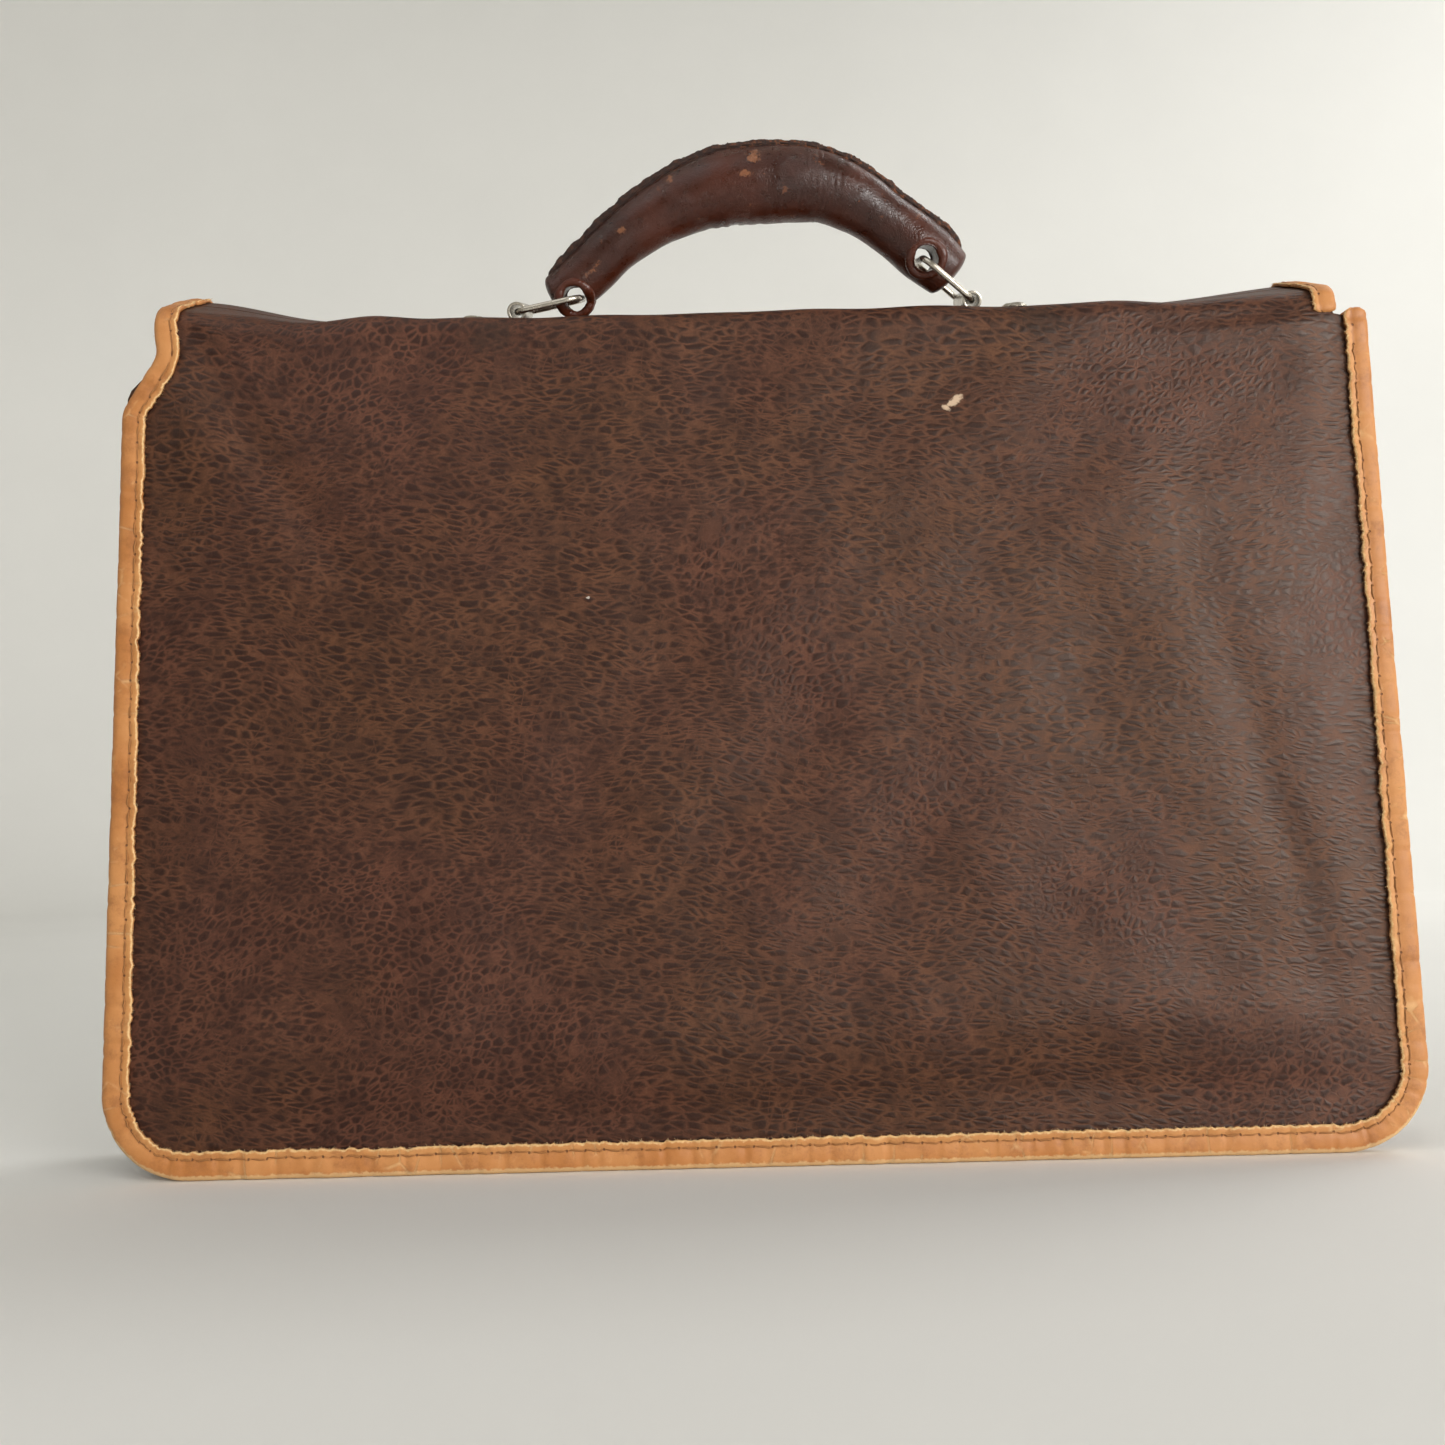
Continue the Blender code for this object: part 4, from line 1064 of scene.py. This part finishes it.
def rings():
    """The two rectangular wire rings, each hinged in its bracket's tube."""
    for side, x, angle in (("left", EX, LEFT_ANGLE), ("right", -EX, RIGHT_ANGLE)):
        along = x * math.cos(angle) + TOP_UP * math.sin(angle)
        matrix = frame_matrix(AT[f"ring_{side}_swing"], along, TOP_RUN, along.cross(TOP_RUN))
        line = slab(RING_PITCH / 2, RING_SPAN / 2, 4.2 * MM)
        points = [(a + RING_PITCH / 2, b, 0.12 * MM * math.sin(b / MM / 4)) for a, b in line]
        obj = wire(f"wire_ring_{side}", points, 1.0 * MM, 4, matrix)
        dress(obj, NICKEL)
        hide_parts(f"ring_{side}")
        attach(obj, f"ring_{side}")


def brackets():
    """Each bracket is a strip rolled at its end into the tube that holds the ring."""
    for side, sign in (("left", -1), ("right", 1)):
        centre = AT[f"ring_{side}_swing"]
        roll, length = 2.55, 24.0
        line = [(length - 0.4 * k, -roll) for k in range(0, 60, 3)]
        turns = np.linspace(-math.pi / 2, -math.pi / 2 - 5.9, 40)
        line = np.array(line + [(roll * math.cos(t), roll * math.sin(t)) for t in turns]) * MM
        corner = np.clip(1 - (length * MM - line[:, 0]) / (3 * MM), 0, 1) * (line[:, 1] < -2.5 * MM)
        across = np.linspace(-9.5, 9.5, 20) * MM * (1 - 0.18 * corner**2)[:, None]
        points = grid(sign * line[:, :1], across, line[:, 1:])
        matrix = frame_matrix(centre, EX, TOP_RUN, TOP_UP)
        obj = surface(f"rolled_bracket_{side}", transformed(matrix, points), np.zeros((*across.shape, 2)))
        solid = obj.modifiers.new("thickness", "SOLIDIFY")
        solid.thickness = 0.86 * MM
        solid.offset = 0
        edge = obj.modifiers.new("edge", "BEVEL")
        edge.width = 0.2 * MM
        edge.segments = 2
        applied(obj)
        outward(obj.data)
        obj.data.shade_smooth()
        obj.data.set_sharp_from_angle(angle=math.radians(40))
        dress(obj, NICKEL)
        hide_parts(f"handle_bracket_{side}")
        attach(obj, "flap_top")


def steel_bar():
    """The flat bar under the top section, bent with it at its ends."""
    x = np.linspace(-BAR_HALF, BAR_HALF, 70)
    middle, wide, thick = TOP_WIDTH / 2, 9 * MM, 0.6 * MM
    low = -SKIN / 2 - 0.3 * MM - thick
    edge = [(-wide, -0.3), (-wide, 0.3), (-wide + 0.3 * MM, 1), (wide - 0.3 * MM, 1)]
    edge += [(-y, -z) for y, z in edge]
    narrow = np.sqrt(np.clip(1 - np.clip(1 - (BAR_HALF - np.abs(x)) / (3 * MM), 0, 1) ** 2, 0.05, 1))
    y, z = np.array(edge).T
    points = grid(x[:, None], middle + y * (0.7 + 0.3 * narrow[:, None]), low + z * thick)
    uv = np.zeros((len(x), len(edge) + 1, 2))
    obj = surface("top_steel_bar", rise(transformed(TOP, points)), uv, wrap=True, caps=True)
    obj.data.set_sharp_from_angle(angle=math.radians(35))
    dress(obj, STEEL)
    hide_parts("top_bar")
    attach(obj, "flap_top")


# ---------------------------------------------------------------- the pieces in place


def build_sheets():
    """The leatherette, on the bodies and across the folds that it belongs to."""
    piece = dress(back_and_fold(), BACK_LEATHER)
    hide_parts("back_panel", "flap_top")
    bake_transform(piece)

    piece = dress(front_and_fold(), LEATHERETTE)
    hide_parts("flap_front")
    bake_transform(piece)

    inset = lambda z: half_width(z) - HEM
    plan = (FRONT_FACE, inset, HEM, FRONT_TOP, SKIN, 0.5, 1, 2.6, RADIUS)
    piece = panel("front_sheet", 11, FRONT, *plan, place=np.asarray)
    dress(piece, LEATHERETTE)
    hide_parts("front_panel")
    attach(piece, "front_panel")

    piece = dress(gusset(), LEATHERETTE)
    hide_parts("bottom_gusset", "side_gusset_left", "side_gusset_right")
    # parallel to the leaning front, so that its seam moves with it from the bottom to the mouth
    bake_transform(piece)


def build_linings():
    rounding, weight, dents = 11.9 * MM, 0.6 * MM, 0.22
    inner, outer = FRONT_FACE - 2.5 * MM, -1.7 * MM
    plans = (
        ("back", 17, BACK, 2.5 * MM, 14, 246, 1, "case", None, back_relief),
        ("front", 18, FRONT, inner, 14, 228, -1, "front_panel", None, None),
        ("flap", 17, FLAP, outer, -138, -14, -1, "flap_front", LOCK_SLOT, None),
    )
    for label, seed, at, face, low, high, sign, body, hole, follow in plans:
        low, high, half = low * MM, high * MM, 170 * MM
        plan = (face, lambda z: half, low, high, weight, dents, sign, 4.0, rounding)
        obj = panel(f"{label}_lining_cloth", seed, at, *plan, hole=hole, follow=follow)
        line(obj, "flap_front_lining" if label == "flap" else f"{label}_lining", body, (2 * half, high - low))
    across = frame_matrix(TOP.translation, EX, TOP_UP, TOP_RUN)
    middle, reach, half = TOP_WIDTH / 2, 8.5 * MM, 175 * MM
    plan = (-4.4 * MM, lambda z: half, middle - reach, middle + reach, weight, 0.05, -1, 3, 3 * MM)
    obj = panel("top_lining_cloth", 16, across, *plan)
    line(obj, "flap_top_lining", "flap_top", (2 * half, 2 * reach))


def line(obj, node, body, flat):
    """Dresses a lining in cloth, hides its CAD node and attaches it to its body. flat, the cloth's flat size,
    is not used.
    """
    dress(obj, CLOTH)
    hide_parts(node)
    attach(obj, body)


def build_bindings():
    """The tape round the back, the top section's right end, the front panel and the flap."""
    lower, upper = 249.5 * MM - FOLD_HEIGHT, TOP_WIDTH / 2
    at = lambda z: z * MM - FOLD_HEIGHT
    corners = [
        (-FLAP_HALF, upper + 0.4 * MM),
        (-FLAP_HALF, at(250)),
        (-FLAP_HALF + 0.9 * MM, at(244)),
        (-half_width(0.229), at(229)),
        (-half_width(0), at(0)),
        (half_width(0), at(0)),
        (half_width(0.2505), at(250.5)),
    ]
    body = lambda s: 1 - smooth(at(234), at(250), s)
    parts = bind(
        "back_edge",
        corners,
        [8 * MM, 5 * MM, 9 * MM, RADIUS, RADIUS],
        BACK_BEND,
        3,
        half=lambda s: (2.0 + 0.85 * body(s)) * MM,
        width=lambda s: (7.6 + 1.0 * (1 - smooth(at(40), at(200), s))) * MM,
        shift=lambda s: -0.9 * body(s) * MM,
        ends=(0, 2.5),
    )
    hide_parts("back_binding", "flap_top_binding_left")
    corners = [(FLAP_HALF, lower), (FLAP_HALF, upper)]
    right = bind("top_edge_right", corners, [], BACK_BEND, 34, 2.0 * MM, 7.8 * MM, ends=(1.5, 0))
    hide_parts("flap_top_binding_right")
    for part in parts + right:
        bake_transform(part)

    corners = [
        (-half_width(FRONT_TOP), FRONT_TOP),
        (-half_width(0), 0),
        (half_width(0), 0),
        (half_width(FRONT_TOP), FRONT_TOP),
    ]
    place = Flat(FRONT, FRONT_FACE - SKIN / 2, 1)
    parts = bind("front_edge", corners, [RADIUS, RADIUS], place, 13, 2.0 * MM, 8.4 * MM, ends=(2.5, 2.5))
    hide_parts("front_binding")
    for part in parts:
        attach(part, "front_panel")

    corners = [
        (FLAP_HALF, -upper + 0.2 * MM),
        (FLAP_HALF, FLAP_LENGTH),
        (-FLAP_HALF, FLAP_LENGTH),
        (-FLAP_HALF, -upper + 0.6 * MM),
    ]
    parts = bind("flap_edge", corners, [28 * MM, 28 * MM], FRONT_BEND, 23, 1.95 * MM, 8.4 * MM)
    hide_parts("flap_front_binding")
    for part in parts:
        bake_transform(part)


def build_metal():
    """The rings and brackets, and a finish for the CAD nodes that still show."""
    rings()
    brackets()
    for name, node in frame["nodes"].items():
        if node.hide_render:
            continue
        look = ROPE if name == "handle_core" else NICKEL
        node.data.materials.clear()
        node.data.materials.append(look)
        weld = node.modifiers.new("weld", "WELD")
        weld.merge_threshold = 0.01 * MM
        edge = node.modifiers.new("edge", "BEVEL")
        edge.width = 0.18 * MM if name != "lock_knob" else 0.8 * MM
        edge.segments = 3
        edge.limit_method = "ANGLE"
        edge.angle_limit = math.radians(40)
        edge.harden_normals = True
        node.data.shade_smooth()


def build_stage():
    """A round room with a swept floor, three soft lights and the camera. The room is closed, so the world's
    light stays outside it."""
    line = rounded([(0.01, 0), (3.2, 0), (3.2, 4)], [1.2], 0.08)[0]
    turns = np.linspace(0, 2 * np.pi, 72, endpoint=False)
    points = grid(line[:, :1] * np.cos(turns), line[:, :1] * np.sin(turns), line[:, 1:])
    ground = surface("ground", points, np.zeros((len(line), len(turns) + 1, 2)), wrap=True, caps=True)
    ground.data.materials.append(paper())

    for name, spot, aim, size, power, spread, tint in (
        ("key", (1.62, -1.72, 0.54), (0.1, 0, 0.30), (1.7, 0.7), 22, 110, (1.0, 0.985, 0.965)),
        ("fill", (-0.7, -0.9, 1.5), (0, 0, 0.15), (1.4, 1.4), 6, 180, (0.97, 0.985, 1.0)),
        ("wash", (1.6, 0.8, 2.0), (1.3, 2.4, 0.4), (1.4, 1.4), 36, 180, (1.0, 1.0, 0.99)),
    ):
        lamp = bpy.data.lights.new(name, "AREA")
        lamp.shape = "RECTANGLE"
        lamp.size, lamp.size_y = size
        lamp.energy = power
        lamp.color = tint
        lamp.spread = math.radians(spread)
        obj = new_object(name, lamp)
        obj.location = spot
        obj.rotation_euler = (Vector(aim) - Vector(spot)).to_track_quat("-Z", "Y").to_euler()

    world = bpy.data.worlds.new("studio")
    world.use_nodes = True
    sky = world.node_tree.nodes["Background"]
    sky.inputs["Color"].default_value = (0.92, 0.90, 0.86, 1)
    sky.inputs["Strength"].default_value = 0.33
    bpy.context.scene.world = world
    bpy.context.scene.view_settings.view_transform = "Standard"

    view = bpy.data.cameras.new("camera")
    view.sensor_width = 36
    view.lens = 36 * 1453.3 / 1445
    view.clip_start = 0.01
    camera = new_object("camera", view)
    camera.location = (-0.01, -0.4546, 0.0985)
    level = Matrix.Rotation(math.radians(90 + 4.336), 4, "X")
    camera.rotation_euler = (level @ Matrix.Rotation(math.radians(-1.408), 4, "Z")).to_euler()
    bpy.context.scene.camera = camera


build_sheets()
build_linings()
build_bindings()
grip_seam(*grip_cover())
eye_rims()
steel_bar()
build_metal()
build_stage()
